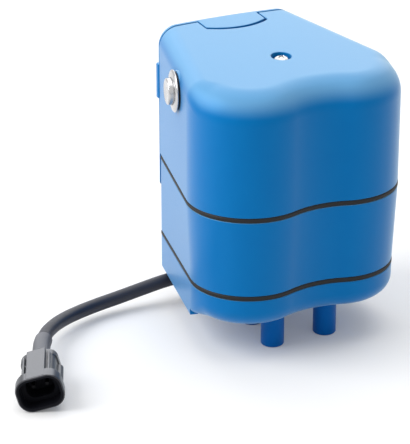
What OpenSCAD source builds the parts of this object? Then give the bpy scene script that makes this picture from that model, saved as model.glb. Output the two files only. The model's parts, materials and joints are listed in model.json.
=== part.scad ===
// Electronic milking pulsator: a two-lobed housing in three tiers, with two
// solenoid valves, a hinged air-filter door, a push button and a short lead.
// Millimetres. Z = 0 is the plane of the port ends, X = 0 the mirror plane,
// and -Y is the lobed front.

/* [Housing] */
// Overall width across the two front lobes
housing_w = 100.5; // [96:0.5:106]
// Overall depth, front of the lobes to the outside of the filter door
housing_depth = 94.5; // [90:0.5:104]
// Height of the top beside the cover screw
housing_h = 128.8; // [124:0.1:138]
// Radius of each front lobe
lobe_r = 28; // [27:0.5:29.5]
// Radius of the shallow hollow between the lobes
saddle_r = 39.5; // [32:0.5:60]
// Width of the flat rear face
rear_w = 70; // [64:0.1:76]
// Radius of the upright rear corners
rear_corner_r = 3; // [2:0.5:4]
// How far the front walls draw in from the upper seam to the lower seam
foot_taper = 1.6; // [0:0.1:2.5]
// Wall thickness of the top cover
wall = 2.8; // [2.2:0.1:3.4]

/* [Seams] */
// Height of the middle of the lower seam
lower_seam_z = 32.6; // [31:0.1:36]
// Height of the middle of the upper seam
upper_seam_z = 70.3; // [68:0.1:73]
// Thickness of both gaskets
gasket_t = 2.2; // [1.6:0.1:2.8]
// Width of the upper gasket's ring
gasket_w = 4; // [3:0.1:4.4]

/* [Cover top] */
// Rise of the top towards the rear, per millimetre
top_slope = 0.07; // [0.01:0.005:0.09]
// Sideways crown of the top, fall over distance squared
top_crown = 0.0006; // [0.0004:0.00005:0.002]
// Edge rounding round the front
front_fillet = 13.5; // [8:0.5:14.5]
// Edge rounding along the sides
side_fillet = 9; // [5:0.5:10]
// Edge rounding along the rear
rear_fillet = 3; // [1:0.5:4]
// Distance of the cover screw behind the lobe centres
screw_back = 11.7; // [9:0.1:14]
// Diameter of the screw's counterbore
counterbore_d = 9.2; // [8.4:0.1:12]
// Depth of the screw's counterbore
counterbore_depth = 3.2; // [2.8:0.1:4]

/* [Base] */
// Height of the underside
underside_z = 17.8; // [17.2:0.1:19.5]
// Height of the lower edge of the side skirts
skirt_z = 15; // [14.9:0.1:17]
// Thickness of the side skirts
skirt_t = 4; // [3:0.1:5]
// Bottom edge rounding round the front
base_fillet = 8; // [5:0.5:9]
// Bottom edge rounding along the sides and rear
base_side_fillet = 1; // [0.5:0.1:2]

/* [Ports] */
// Outside diameter of the nipples
nipple_d = 10.6; // [9:0.1:12]
// Bore of the nipples
nipple_bore_d = 6.4; // [5:0.1:7.4]
// Distance between the two pulse nipples
nipple_pitch = 27; // [24:0.5:30]
// Distance of the pulse nipples in front of the lobe centres
nipple_forward = 8; // [7.4:0.1:10]
// Sideways place of the clean-air nipple
air_nipple_x = -10.8; // [-12:0.1:-10]
// Distance of the clean-air nipple behind the lobe centres
air_nipple_back = 16.6; // [16:0.1:20]
// Bore of the clean-air nipple
air_bore_d = 4.8; // [4:0.1:6]
// Outside diameter of the vacuum inlet
inlet_d = 16; // [14:0.1:18]
// Bore of the vacuum inlet
inlet_bore_d = 11; // [8:0.1:12]
// Place of the vacuum inlet along Y
inlet_y = 16; // [14:0.5:18]
// Depth to which each port is pressed into the base
port_seat = 5; // [4:0.1:5.5]

/* [Filter door] */
// Thickness of the door with its gap
door_t = 4; // [3.6:0.1:5]
// Gap between the door and the housing
door_gap = 0.3; // [0.3:0.05:0.5]
// Height of the hinge axis
hinge_z = 56.3; // [50:0.1:60]
// Diameter of the hinge pin
hinge_pin_d = 2; // [1.6:0.1:2.2]
// Distance of the hinge lugs from the middle
lug_x = 20; // [16:0.5:24]
// Width of each hinge lug
lug_w = 5; // [4:0.1:7]
// Width of the tongue on the top
tongue_w = 30; // [26:0.5:36]
// Length of the tongue, forward of the rear face
tongue_len = 13.5; // [10:0.5:15]
// Thickness of the tongue
tongue_t = 2.6; // [2:0.1:3]
// Radius of the tongue's front edge
tongue_r = 27; // [22:0.5:60]
// Gap round the tongue
tongue_gap = 0.7; // [0.5:0.1:1.2]
// Distance of the finger grips' middle below the top
grip_drop = 22.5; // [20:0.5:30]
// Height of each finger grip
grip_h = 17; // [12:0.5:20]
// How far each grip stands out
grip_out = 0.3; // [0.2:0.1:2]
// Number of air slots in the door
slot_count = 5; // [3:1:6]
// Width of each air slot
slot_w = 34; // [24:1:42]
// Height of each air slot
slot_h = 2.6; // [2:0.1:3.2]
// Width of the foam filter
filter_w = 46; // [40:0.5:50]
// Height of the foam filter
filter_h = 34; // [28:0.5:36]
// Thickness of the foam filter
filter_t = 11; // [8:0.5:12]

/* [Push button] */
// Distance of the button below the top
button_drop = 13.5; // [13:0.1:18]
// Place of the button along Y
button_y = 6.5; // [0:0.5:8]
// Diameter of the bezel
bezel_d = 19; // [17:0.1:20]
// Thickness of the bezel's flange
bezel_t = 1.6; // [1.2:0.1:2]
// Diameter of the cap
cap_d = 12; // [10:0.1:12.4]
// How far the cap stands out of the bezel
cap_out = 2.3; // [2.2:0.1:3.2]
// Outside diameter of the bezel's barrel
barrel_d = 15; // [14.6:0.1:15.6]
// Outside diameter of the ring nut
ring_nut_d = 18.4; // [17.6:0.1:18.8]
// Thickness of the ring nut
ring_nut_t = 3; // [2:0.1:4]
// Diameter of the switch behind the button
switch_d = 13; // [11:0.1:14]
// Length of the switch behind the button
switch_len = 12; // [9:0.1:13]

/* [Solenoid valves] */
// Height of the valve chamber's floor
chamber_floor_z = 46; // [45:0.1:48]
// Diameter of the valve chamber
chamber_d = 31; // [28:0.1:31.6]
// Height of the vacuum seat above the chamber's floor
seat_h = 12; // [9:0.1:13]
// Outside diameter of the vacuum seat
seat_d = 14; // [12:0.1:15]
// Bore of the vacuum seat
seat_bore_d = 8; // [6:0.1:9]
// Diameter of the rubber valve disc
disc_d = 17; // [16:0.1:20]
// Thickness of the rubber valve disc
disc_t = 3.5; // [2.5:0.1:4.5]
// Stroke of the plunger
stroke = 2.5; // [1.5:0.1:3]
// Diameter of the plunger
plunger_d = 11.5; // [10.5:0.1:12]
// Wall of the guide tube
guide_wall = 0.8; // [0.6:0.1:1]
// Diameter of the guide tube's flange
flange_d = 33.4; // [32.6:0.1:33.6]
// Thickness of the guide tube's flange
flange_t = 2.5; // [2:0.1:3]
// Diameter of the coil former's cheeks
coil_d = 27; // [24:0.5:28]
// Outside diameter of the copper winding
winding_d = 25; // [22:0.5:26]
// Thickness of the yoke's steel strip
yoke_t = 3; // [2:0.1:3.4]
// Width of the yoke's steel strip
yoke_w = 31; // [28:0.5:31]
// Outside diameter of the return spring
spring_d = 6; // [5:0.1:6.4]
// Wire of the return spring
spring_wire = 0.8; // [0.6:0.1:1]
// Turns of the return spring
spring_turns = 6; // [4:1:8]

/* [Circuit board] */
// Width of the board
board_w = 52; // [46:0.5:56]
// Space between the board and the cover above it
board_headroom = 7.8; // [6:0.1:12]
// Thickness of the board
board_t = 1.6; // [1.2:0.1:2]
// Place of the board's front face along Y
board_y = 8; // [6:0.5:9]

/* [Lead] */
// Diameter of the cable
cable_d = 6.4; // [5.6:0.1:6.8]
// Height of the cable where it leaves the gland
gland_z = 11.5; // [11:0.1:11.6]
// Distance of the gland in front of the rear face
gland_back = 9.45; // [8.3:0.05:10.2]
// Across-flats size of the gland nut
gland_nut_af = 10.8; // [9.4:0.1:11]
// Width of the plug's collar
plug_w = 20.5; // [18:0.1:22]
// Height of the plug's collar
plug_h = 16; // [14:0.1:17]
// Length of the plug's collar
plug_collar_len = 8; // [6:0.5:10]
// Width of the plug's body
plug_body_w = 15.4; // [13:0.1:17]
// Height of the plug's body
plug_body_h = 12.4; // [11:0.1:13]
// Length of the plug's body
plug_body_len = 21; // [17:0.5:22]
// Wall of the plug's collar
plug_wall = 1.7; // [1.2:0.1:2]
// Depth of the plug's mouth
plug_mouth_depth = 14; // [11:0.5:15]
// Length of the rubber boot behind the plug
boot_len = 7; // [5:0.5:9]

/* [Hidden] */

$fn = 64;
eps = 0.01;
far = 400;

// Clearances
fit_gap = 0.05;
running_gap = 0.08;
slide_gap = 0.3;
loose_gap = 0.4;
rest_gap = 0.1;

// Colours
blue = [0.05, 0.43, 0.72];
deep_blue = [0.03, 0.33, 0.62];
black = [0.08, 0.08, 0.09];
steel = [0.78, 0.78, 0.80];
brass = [0.76, 0.62, 0.30];
copper = [0.72, 0.38, 0.20];

// Plan of the housing
lobe_x = housing_w / 2 - lobe_r;
lobe_y = lobe_r - housing_depth / 2;
rear_y = housing_depth / 2 - door_t;
saddle_y = lobe_y - sqrt(pow(lobe_r + saddle_r, 2) - pow(lobe_x, 2));
saddle_a = atan2(lobe_y - saddle_y, lobe_x);
rear_from_lobe = [rear_w / 2 - lobe_x, rear_y - lobe_y];
side_a = atan2(rear_from_lobe.y, rear_from_lobe.x) - acos(lobe_r / norm(rear_from_lobe));
lobe_steps = 18;
side_steps = 4;
corner_steps = 3;
rear_steps = 8;
saddle_steps = 6;
sharp_corner_r = 0.2;

// Stations round the plan, anticlockwise from the right lobe's front
LOBE = 0;
SIDE = 1;
CORNER = 2;
REAR = 3;
SADDLE = 4;
lobe_a = saddle_a - 180;
stations = concat(
    [for (k = [0:lobe_steps]) [LOBE, 1, lobe_a + (side_a - lobe_a) * k / lobe_steps]],
    [for (k = [1:side_steps - 1]) [SIDE, 1, k / side_steps]],
    [for (k = [0:corner_steps]) [CORNER, 1, side_a + (90 - side_a) * k / corner_steps]],
    [for (k = [1:rear_steps - 1]) [REAR, 0, k / rear_steps]],
    [for (k = [corner_steps:-1:0]) [CORNER, -1, side_a + (90 - side_a) * k / corner_steps]],
    [for (k = [side_steps - 1:-1:1]) [SIDE, -1, k / side_steps]],
    [for (k = [lobe_steps:-1:0]) [LOBE, -1, lobe_a + (side_a - lobe_a) * k / lobe_steps]],
    [for (k = [1:saddle_steps - 1])
        [SADDLE, 0, 180 - saddle_a + (2 * saddle_a - 180) * k / saddle_steps]]
);

function mirrored(p, side) = [side * p.x, p.y];
function polar(r, a) = r * [cos(a), sin(a)];

// Corner of the side and rear lines, both moved inwards
function rear_corner(inset, rear) =
    [lobe_x + (lobe_r - inset - (rear - inset - lobe_y) * sin(side_a)) / cos(side_a), rear - inset];

// One point of the plan, moved inwards
function lobe_point(a, inset) = [lobe_x, lobe_y] + polar(lobe_r - inset, a);
function corner_point(a, inset, rear) =
    let (r = max(rear_corner_r - inset, sharp_corner_r))
    rear_corner(inset + r, rear) + polar(r, a);
function plan_point(s, inset, rear) =
    s[0] == LOBE ? mirrored(lobe_point(s[2], inset), s[1])
    : s[0] == SIDE ? mirrored((1 - s[2]) * lobe_point(side_a, inset)
        + s[2] * corner_point(side_a, inset, rear), s[1])
    : s[0] == CORNER ? mirrored(corner_point(s[2], inset, rear), s[1])
    : s[0] == REAR ? [(1 - 2 * s[2]) * corner_point(90, inset, rear).x, rear - inset]
    : [0, saddle_y] + polar(saddle_r + inset, s[2]);
function plan(inset, rear = rear_y) = [for (s = stations) plan_point(s, inset, rear)];

// Plan at the foot of the walls: drawn in round the front, fading to nothing at the rear corners
function foot_inset(s) =
    s[0] == LOBE || s[0] == SADDLE ? foot_taper
    : s[0] == SIDE ? foot_taper * (1 - s[2])
    : 0;
function foot_plan() = [for (s = stations) plan_point(s, foot_inset(s), rear_y)];
function side_x(y, inset = 0) =
    lobe_x + (lobe_r - inset - (y - lobe_y) * sin(side_a)) / cos(side_a);

// Edge rounding at a station, from its values at the front, side and rear
blend_from_a = -15;
function smooth(t) = let (c = min(max(t, 0), 1)) c * c * (3 - 2 * c);
function edge_r(s, front, side, rear) =
    s[0] == LOBE ? front + (side - front) * smooth((s[2] - blend_from_a) / (side_a - blend_from_a))
    : s[0] == SIDE ? side
    : s[0] == CORNER ? side + (rear - side) * smooth((s[2] - side_a) / (90 - side_a))
    : s[0] == REAR ? rear
    : front;

// Heights
base_top_z = lower_seam_z - gasket_t / 2;
middle_bottom_z = lower_seam_z + gasket_t / 2;
middle_top_z = upper_seam_z - gasket_t / 2;
cover_bottom_z = upper_seam_z + gasket_t / 2;
screw_y = lobe_y + screw_back;
function top_z(p) = housing_h + top_slope * (p.y - screw_y) - top_crown * p.x * p.x;
crown_centre = [0, (lobe_y + rear_y) / 2];

// Solid through a list of rings, closed by a point at each end
module skin(rings, low, high) {
    n = len(rings[0]);
    count = len(rings);
    points = concat([for (ring = rings) for (p = ring) p], [low, high]);
    faces = concat(
        [for (k = [0:count - 2]) for (i = [0:n - 1])
            [k * n + i, (k + 1) * n + i, (k + 1) * n + (i + 1) % n]],
        [for (k = [0:count - 2]) for (i = [0:n - 1])
            [k * n + i, (k + 1) * n + (i + 1) % n, k * n + (i + 1) % n]],
        [for (i = [0:n - 1]) [count * n, i, (i + 1) % n]],
        [for (i = [0:n - 1]) [count * n + 1, (count - 1) * n + (i + 1) % n, (count - 1) * n + i]]
    );
    polyhedron(points = points, faces = faces);
}
function at_height(ring, z) = [for (p = ring) [p.x, p.y, z]];

// Outer form of the cover and its door in one: walls, rounded edge and crowned top
edge_angles = [0, 22.5, 45, 67.5, 90];
crown_steps = [0.4, 0.75];
module cover_form(bottom_z) {
    rear = rear_y + door_t;
    radii = [for (s = stations) edge_r(s, front_fillet, side_fillet, rear_fillet)];
    rim = [for (i = [0:len(stations) - 1]) plan_point(stations[i], radii[i], rear)];
    rounded = [for (a = edge_angles) [for (i = [0:len(stations) - 1])
        let (p = plan_point(stations[i], radii[i] * (1 - cos(a)), rear))
        [p.x, p.y, top_z(rim[i]) - radii[i] * (1 - sin(a))]]];
    crown = [for (t = crown_steps) [for (p = rim)
        let (q = p + t * (crown_centre - p)) [q.x, q.y, top_z(q)]]];
    skin(
        concat([at_height(plan(0, rear), bottom_z)], rounded, crown),
        [crown_centre.x, crown_centre.y, bottom_z],
        [crown_centre.x, crown_centre.y, top_z(crown_centre)]
    );
}

module place_lobe(side) {
    translate([side * lobe_x, lobe_y, 0]) children();
}

// Top cover
cavity_rear = 18;
cavity_step = 6;
cavity_side_drop = 16;
cavity_mid_drop = 8;
cavity_low_top = housing_h - cavity_side_drop;
cavity_top = housing_h - cavity_mid_drop;
counterbore_z = housing_h - counterbore_depth;
screw_d = 4;
tongue_floor_z = top_z([0, rear_y - tongue_len]) - tongue_t - loose_gap;
filter_sill = 4.6;
filter_z = cover_bottom_z + filter_sill;
duct_w = 30;
duct_h = 10;

module tongue_plan(grow) {
    half = tongue_w / 2 + grow;
    front = rear_y - tongue_len - grow;
    r = tongue_r + grow;
    arc_steps = 10;
    arc = [for (k = [0:arc_steps])
        let (x = half * (2 * k / arc_steps - 1)) [x, front + r - sqrt(r * r - x * x)]];
    polygon(concat(arc, [[half, rear_y + door_t / 2], [-half, rear_y + door_t / 2]]));
}

module cavity(inset, top) {
    translate([0, 0, cover_bottom_z - 1])
        linear_extrude(top - cover_bottom_z + 1)
            polygon(plan(inset, rear_y - cavity_rear + inset));
}

module top_cover() {
    color(blue) difference() {
        union() {
            cover_form(cover_bottom_z);
            place_button() along_x(-button_pad_depth, 0, button_pad_d);
        }
        translate([-far / 2, rear_y, 0]) cube([far, far, far]);
        cavity(wall, cavity_low_top);
        cavity(wall + cavity_step, cavity_top);
        translate([0, 0, tongue_floor_z]) linear_extrude(far) tongue_plan(tongue_gap);
        translate([0, screw_y, counterbore_z]) cylinder(d = counterbore_d, h = far);
        translate([0, screw_y, cavity_top - 1]) cylinder(d = screw_d + loose_gap, h = far);
        translate([-filter_w / 2 - fit_gap, rear_y - filter_t - door_gap, filter_z - fit_gap])
            cube([filter_w + 2 * fit_gap, far, filter_h + 2 * fit_gap]);
        translate([-duct_w / 2, rear_y - cavity_rear - 1, filter_z + (filter_h - duct_h) / 2])
            cube([duct_w, cavity_rear, duct_h]);
        place_button() {
            along_x(-far / 8, 1, barrel_d + 2 * fit_gap);
            along_x(-button_pocket_len, -button_wall, ring_nut_d + 2 * loose_gap);
        }
    }
}

// Middle body
chamber_r = chamber_d / 2;
passage_r = nipple_bore_d / 2;
pulse_x = nipple_pitch / 2;
pulse_y = lobe_y - nipple_forward;
air_y = lobe_y + air_nipple_back;
barrel_extra = 0.25;
barrel_r = (door_t - door_gap) / 2 + barrel_extra;
hinge_y = rear_y + door_gap + barrel_r;
post_w = 5;
post_d = 7.6;
post_h = 15;
post_grip = 1.5;
base_screw_r = 14.5;
base_screw_a = -19;
base_screw_in = 7.35;
base_screw_back = 13.25;
base_screw_front = [lobe_x, lobe_y] + polar(base_screw_r, base_screw_a);
base_screw_rear = [rear_w / 2 - base_screw_in, rear_y - base_screw_back];
base_screw_places = [for (p = [base_screw_front, base_screw_rear]) for (side = [-1, 1])
    mirrored(p, side)];
base_screw_d = 3.5;
base_screw_head_d = 6.8;
base_screw_head_t = 2.6;
base_screw_top_z = chamber_floor_z - 2;
base_screw_seat = 3.2;
base_screw_tip_gap = 0.5;

module hinge_lug(side) {
    translate([side * lug_x - lug_w / 2, 0, 0]) {
        translate([0, rear_y - 1, hinge_z - barrel_r]) cube([lug_w, hinge_y - rear_y + 1, 2 * barrel_r]);
        translate([0, hinge_y, hinge_z]) along_x(0, lug_w, 2 * barrel_r);
    }
}

module board_post(side) {
    translate([side * board_w / 2, board_y + board_t / 2, middle_top_z])
        translate([side > 0 ? -post_grip : post_grip - post_w, -post_d / 2, -1])
            cube([post_w, post_d, post_h + 1]);
}

module middle_body() {
    color(blue) difference() {
        union() {
            skin(
                [at_height(foot_plan(), middle_bottom_z), at_height(plan(0), middle_top_z)],
                [crown_centre.x, crown_centre.y, middle_bottom_z],
                [crown_centre.x, crown_centre.y, middle_top_z]
            );
            for (side = [-1, 1]) {
                hinge_lug(side);
                board_post(side);
            }
        }
        for (side = [-1, 1]) {
            place_lobe(side) {
                translate([0, 0, chamber_floor_z]) cylinder(r = chamber_r, h = far);
                translate([0, 0, middle_top_z - flange_t])
                    cylinder(d = flange_d + 2 * fit_gap, h = flange_t + eps);
                translate([0, 0, middle_bottom_z + seat_foot])
                    cylinder(d = seat_d + 2 * fit_gap, h = far / 8);
                translate([0, 0, middle_bottom_z - 1]) cylinder(d = seat_bore_d, h = seat_foot + 2);
            }
            translate([side * pulse_x, pulse_y, middle_bottom_z - 1])
                cylinder(r = passage_r, h = chamber_floor_z - middle_bottom_z + 2);
        }
        translate([air_nipple_x, air_y, middle_bottom_z - 1]) cylinder(d = air_bore_d, h = far / 4);
        for (p = base_screw_places)
            translate([p.x, p.y, middle_bottom_z - 1])
                cylinder(
                    d = base_screw_d + 2 * fit_gap,
                    h = base_screw_top_z - middle_bottom_z + base_screw_tip_gap + 1
                );
        translate([0, hinge_y, hinge_z]) along_x(-far / 4, far / 4, hinge_pin_d + 2 * fit_gap);
        translate([-board_w / 2 - fit_gap, board_y - fit_gap, middle_top_z])
            cube([board_w + 2 * fit_gap, board_t + 2 * fit_gap, far / 8]);
    }
}

// Base
seat_foot = 3;
port_step = 1;
channel_roof = 0.6;
channel_z = underside_z + port_seat + channel_roof;
channel_w = 8;
channel_r = 5.5;
channel_x = lobe_x;
skirt_overlap = 3;

module vacuum_channels() {
    for (side = [-1, 1]) {
        translate([side * channel_x, lobe_y]) circle(r = channel_r);
        translate([side * channel_x - channel_w / 2, lobe_y]) square([channel_w, inlet_y - lobe_y]);
    }
    translate([-channel_x - channel_w / 2, inlet_y - channel_w / 2])
        square([2 * channel_x + channel_w, channel_w]);
}

module passages() {
    for (side = [-1, 1]) translate([side * pulse_x, pulse_y]) circle(r = passage_r);
    translate([air_nipple_x, air_y]) circle(d = air_bore_d);
    for (p = base_screw_places) translate(p) circle(d = base_screw_d + 2 * fit_gap);
}

module skirt(side) {
    start = mirrored(lobe_point(side_a, foot_taper), side);
    end = mirrored(corner_point(side_a, 0, rear_y), side);
    inner_end = mirrored(corner_point(side_a, skirt_t, rear_y), side);
    inner_start = mirrored(lobe_point(side_a, foot_taper + skirt_t), side);
    translate([0, 0, skirt_z])
        linear_extrude(base_top_z - skirt_overlap - skirt_z) polygon([start, end, inner_end, inner_start]);
}

module base() {
    radii = [for (s = stations) edge_r(s, base_fillet, base_side_fillet, base_side_fillet)];
    rounded = [for (a = [90, 60, 30, 0]) [for (i = [0:len(stations) - 1])
        let (s = stations[i], p = plan_point(s, foot_inset(s) + radii[i] * (1 - cos(a)), rear_y))
        [p.x, p.y, underside_z + radii[i] * (1 - sin(a))]]];
    color(blue) difference() {
        union() {
            skin(
                concat(rounded, [at_height(foot_plan(), base_top_z)]),
                [crown_centre.x, crown_centre.y, underside_z],
                [crown_centre.x, crown_centre.y, base_top_z]
            );
            for (side = [-1, 1]) skirt(side);
        }
        translate([0, 0, channel_z]) linear_extrude(far) vacuum_channels();
        translate([0, 0, underside_z - 1]) linear_extrude(far) passages();
        for (p = base_screw_places)
            translate([p.x, p.y, underside_z - 1])
                cylinder(d = base_screw_head_d + 2 * loose_gap, h = base_screw_seat + 1);
        for (side = [-1, 1]) port_hole([side * pulse_x, pulse_y], nipple_d);
        port_hole([air_nipple_x, air_y], nipple_d);
        port_hole([0, inlet_y], inlet_d);
        translate([0, inlet_y, underside_z]) cylinder(d = inlet_bore_d, h = channel_z - underside_z + 1);
    }
}

module port(place, d, bore_d) {
    translate([place.x, place.y, 0]) difference() {
        union() {
            cylinder(d = d, h = underside_z);
            cylinder(d = d - port_step, h = underside_z + port_seat);
        }
        translate([0, 0, -1]) cylinder(d = bore_d, h = far);
    }
}

module port_hole(place, d) {
    translate([place.x, place.y, underside_z - 1])
        cylinder(d = d - port_step + 2 * fit_gap, h = port_seat + 1);
}

module pulse_nipple(side) {
    color(deep_blue) port([side * pulse_x, pulse_y], nipple_d, nipple_bore_d);
}

module air_nipple() {
    color(deep_blue) port([air_nipple_x, air_y], nipple_d, air_bore_d);
}

module vacuum_inlet() {
    color(deep_blue) port([0, inlet_y], inlet_d, inlet_bore_d);
}

// Gaskets
module upper_gasket() {
    color(black) translate([0, 0, middle_top_z]) linear_extrude(gasket_t) difference() {
        polygon(plan(0));
        polygon(plan(gasket_w));
    }
}

module lower_gasket() {
    color(black) translate([0, 0, base_top_z]) linear_extrude(gasket_t) difference() {
        polygon(foot_plan());
        vacuum_channels();
        passages();
    }
}

// Screws
screw_head_d = 7.4;
screw_head_t = 2.4;
recess_w = 1.1;
recess_l = 4.2;
recess_depth = 1.3;
pillar_af = 8;
screw_hold = 9;

module pan_screw(head_d, head_t, shank_d, shank_len) {
    difference() {
        union() {
            cylinder(d = head_d, h = head_t);
            translate([0, 0, -shank_len]) cylinder(d = shank_d, h = shank_len + eps);
        }
        for (turn = [0, 90])
            rotate(turn) translate([-recess_l / 2, -recess_w / 2, head_t - recess_depth])
                cube([recess_l, recess_w, far]);
    }
}

module cover_screw() {
    color(steel) translate([0, screw_y, counterbore_z])
        pan_screw(screw_head_d, screw_head_t, screw_d, counterbore_z - cavity_top + screw_hold);
}

module cover_pillar() {
    color(brass) translate([0, screw_y, middle_top_z]) difference() {
        rotate(30) cylinder(d = pillar_af / cos(30), h = cavity_top - middle_top_z, $fn = 6);
        translate([0, 0, cavity_top - middle_top_z - screw_hold - 1])
            cylinder(d = screw_d + 2 * fit_gap, h = far);
    }
}

module base_screws() {
    head_z = underside_z + base_screw_seat;
    color(steel) for (p = base_screw_places)
        translate([p.x, p.y, head_z]) rotate([180, 0, 0])
            pan_screw(base_screw_head_d, base_screw_head_t, base_screw_d, base_screw_top_z - head_z);
}

// Filter door
barrel_end = 3;
slot_pitch = 6.4;
grip_l = 6;
grip_set_in = 0.6;

module air_slots() {
    mid_z = filter_z + filter_h / 2;
    for (k = [0:slot_count - 1])
        translate([-slot_w / 2, rear_y - 1, mid_z + (k - (slot_count - 1) / 2) * slot_pitch - slot_h / 2])
            cube([slot_w, door_t + 2, slot_h]);
}

module hinge_barrels() {
    inner = lug_x - lug_w / 2 - door_gap;
    outer = lug_x + lug_w / 2 + door_gap;
    translate([0, hinge_y, hinge_z]) {
        along_x(-inner, inner, 2 * barrel_r);
        for (flip = [0, 1])
            mirror([flip, 0, 0]) along_x(outer, rear_w / 2 - barrel_end, 2 * barrel_r);
    }
}

module lug_clearance(side) {
    translate([side * lug_x - lug_w / 2 - door_gap, rear_y - 1, hinge_z - barrel_r - 1])
        cube([lug_w + 2 * door_gap, door_t + 3, 2 * barrel_r + 1 + door_gap]);
}

module finger_grip(side) {
    outer = side_x(rear_y + door_gap) + grip_out;
    grip_z = housing_h - grip_drop;
    translate([side > 0 ? outer - grip_l : -outer, rear_y + door_gap, grip_z - grip_h / 2])
        cube([grip_l, door_t - door_gap - grip_set_in, grip_h]);
}

module filter_door() {
    color(blue) difference() {
        union() {
            intersection() {
                cover_form(hinge_z);
                union() {
                    translate([-far / 2, rear_y + door_gap, 0]) cube([far, far, far]);
                    translate([0, 0, tongue_floor_z + loose_gap]) linear_extrude(far) tongue_plan(0);
                }
            }
            hinge_barrels();
            for (side = [-1, 1]) finger_grip(side);
        }
        for (side = [-1, 1]) lug_clearance(side);
        air_slots();
        translate([0, hinge_y, hinge_z]) along_x(-far / 4, far / 4, hinge_pin_d + 2 * running_gap);
    }
}

module hinge_pin() {
    half = rear_w / 2 - barrel_end;
    color(steel) translate([0, hinge_y, hinge_z]) along_x(-half, half, hinge_pin_d);
}

module air_filter() {
    color([0.20, 0.21, 0.22])
        translate([-filter_w / 2, rear_y - filter_t, filter_z]) cube([filter_w, filter_t, filter_h]);
}

// Push button, drawn along its own axis with +X outwards from the side wall
button_z = housing_h - button_drop;
button_wall = wall + loose_gap;
button_pad_d = bezel_d - 2 * loose_gap;
button_pad_depth = 5;
seal_t = 0.8;
barrel_len = 14;
cap_skirt = 6;
stem_d = 5;
stem_gap = 1;
button_pocket_len = barrel_len + switch_len + 1;
button_travel = 2;

module along_x(from, to, d) {
    translate([from, 0, 0]) rotate([0, 90, 0]) cylinder(d = d, h = to - from);
}

module place_button() {
    translate([-side_x(button_y), button_y, button_z]) rotate([0, 0, 180 - side_a]) children();
}

module button_seal() {
    color(black) place_button() difference() {
        along_x(0, seal_t, button_pad_d);
        along_x(-1, seal_t + 1, barrel_d + 2 * fit_gap);
    }
}

module button_bezel() {
    color(steel) place_button() difference() {
        union() {
            along_x(seal_t, seal_t + bezel_t, bezel_d);
            along_x(-barrel_len, seal_t + eps, barrel_d);
        }
        along_x(-barrel_len - 1, seal_t + bezel_t + 1, cap_d + 2 * running_gap);
    }
}

module button_cap() {
    color(steel) place_button() {
        along_x(-cap_skirt, seal_t + bezel_t + cap_out, cap_d);
        along_x(-barrel_len + stem_gap, -cap_skirt + eps, stem_d);
    }
}

module button_nut() {
    notch = 2.4;
    color(brass) place_button() difference() {
        along_x(-button_wall - ring_nut_t, -button_wall, ring_nut_d);
        along_x(-far / 8, far / 8, barrel_d + 2 * fit_gap);
        for (k = [0:3])
            rotate([45 + 90 * k, 0, 0]) translate([-far / 8, -notch / 2, ring_nut_d / 2 - 1])
                cube([far / 4, notch, notch]);
    }
}

module button_switch() {
    color(black) place_button() difference() {
        along_x(-barrel_len - switch_len, -barrel_len, switch_d);
        along_x(-barrel_len - stem_gap - button_travel, 1, stem_d + 2 * slide_gap);
    }
}

// Solenoid valves, one under each lobe
core_nut_af = 13;
core_nut_t = 5;
pole_stud_d = 8;
pole_stud_proud = 1.5;
coil_headroom = 0.3;
coil_stack = core_nut_t + pole_stud_proud + coil_headroom + 2 * yoke_t;
coil_len = cavity_low_top - middle_top_z - coil_stack;
plunger_share = 0.9;
plunger_len = plunger_share * coil_len;
seat_top_z = chamber_floor_z + seat_h;
disc_z = seat_top_z + rest_gap;
disc_top_z = disc_z + disc_t;
plunger_top_z = disc_top_z + plunger_len;
pole_gap = 0.5;
pole_z = plunger_top_z + stroke + pole_gap;
guide_id = plunger_d + 2 * slide_gap;
guide_od = guide_id + 2 * guide_wall;
yoke_bottom_z = middle_top_z;
coil_z = yoke_bottom_z + yoke_t;
coil_top_z = coil_z + coil_len;
yoke_top_z = coil_top_z + yoke_t;
former_wall = 1;
cheek_t = 1.5;
stud_d = 5;
stud_recess = 0.6;
bore_depth = 9;
yoke_front = 15;
yoke_back = coil_d / 2 + 1 + yoke_t;
lip_d = 15;

module valve_seat(side) {
    color(brass) place_lobe(side) translate([0, 0, middle_bottom_z + seat_foot]) difference() {
        cylinder(d = seat_d, h = seat_top_z - middle_bottom_z - seat_foot);
        translate([0, 0, -1]) cylinder(d = seat_bore_d, h = far);
    }
}

module valve_disc(side) {
    color(black) place_lobe(side) translate([0, 0, disc_z]) difference() {
        cylinder(d = disc_d, h = disc_t);
        translate([0, 0, -1]) cylinder(d = stud_d + 2 * fit_gap, h = far);
    }
}

module plunger(side) {
    color(steel) place_lobe(side) translate([0, 0, disc_top_z]) difference() {
        union() {
            cylinder(d = plunger_d, h = plunger_len);
            translate([0, 0, stud_recess - disc_t]) cylinder(d = stud_d, h = disc_t);
        }
        translate([0, 0, plunger_len - bore_depth]) cylinder(d = spring_d + 2 * slide_gap, h = far);
    }
}

module return_spring(side) {
    turn_steps = 10;
    wire_sides = 6;
    low = plunger_top_z - bore_depth + spring_wire / 2;
    high = pole_z - spring_wire / 2;
    r = (spring_d - spring_wire) / 2;
    steps = spring_turns * turn_steps;
    function ring(k) =
        let (a = 360 * k / turn_steps, z = low + (high - low) * k / steps)
        [for (j = [wire_sides - 1:-1:0])
            let (b = 360 * j / wire_sides, q = r + spring_wire / 2 * cos(b))
            [q * cos(a), q * sin(a), z + spring_wire / 2 * sin(b)]];
    function centre(k) =
        let (a = 360 * k / turn_steps) [r * cos(a), r * sin(a), low + (high - low) * k / steps];
    color(steel) place_lobe(side)
        skin([for (k = [0:steps]) ring(k)], centre(0), centre(steps));
}

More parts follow.
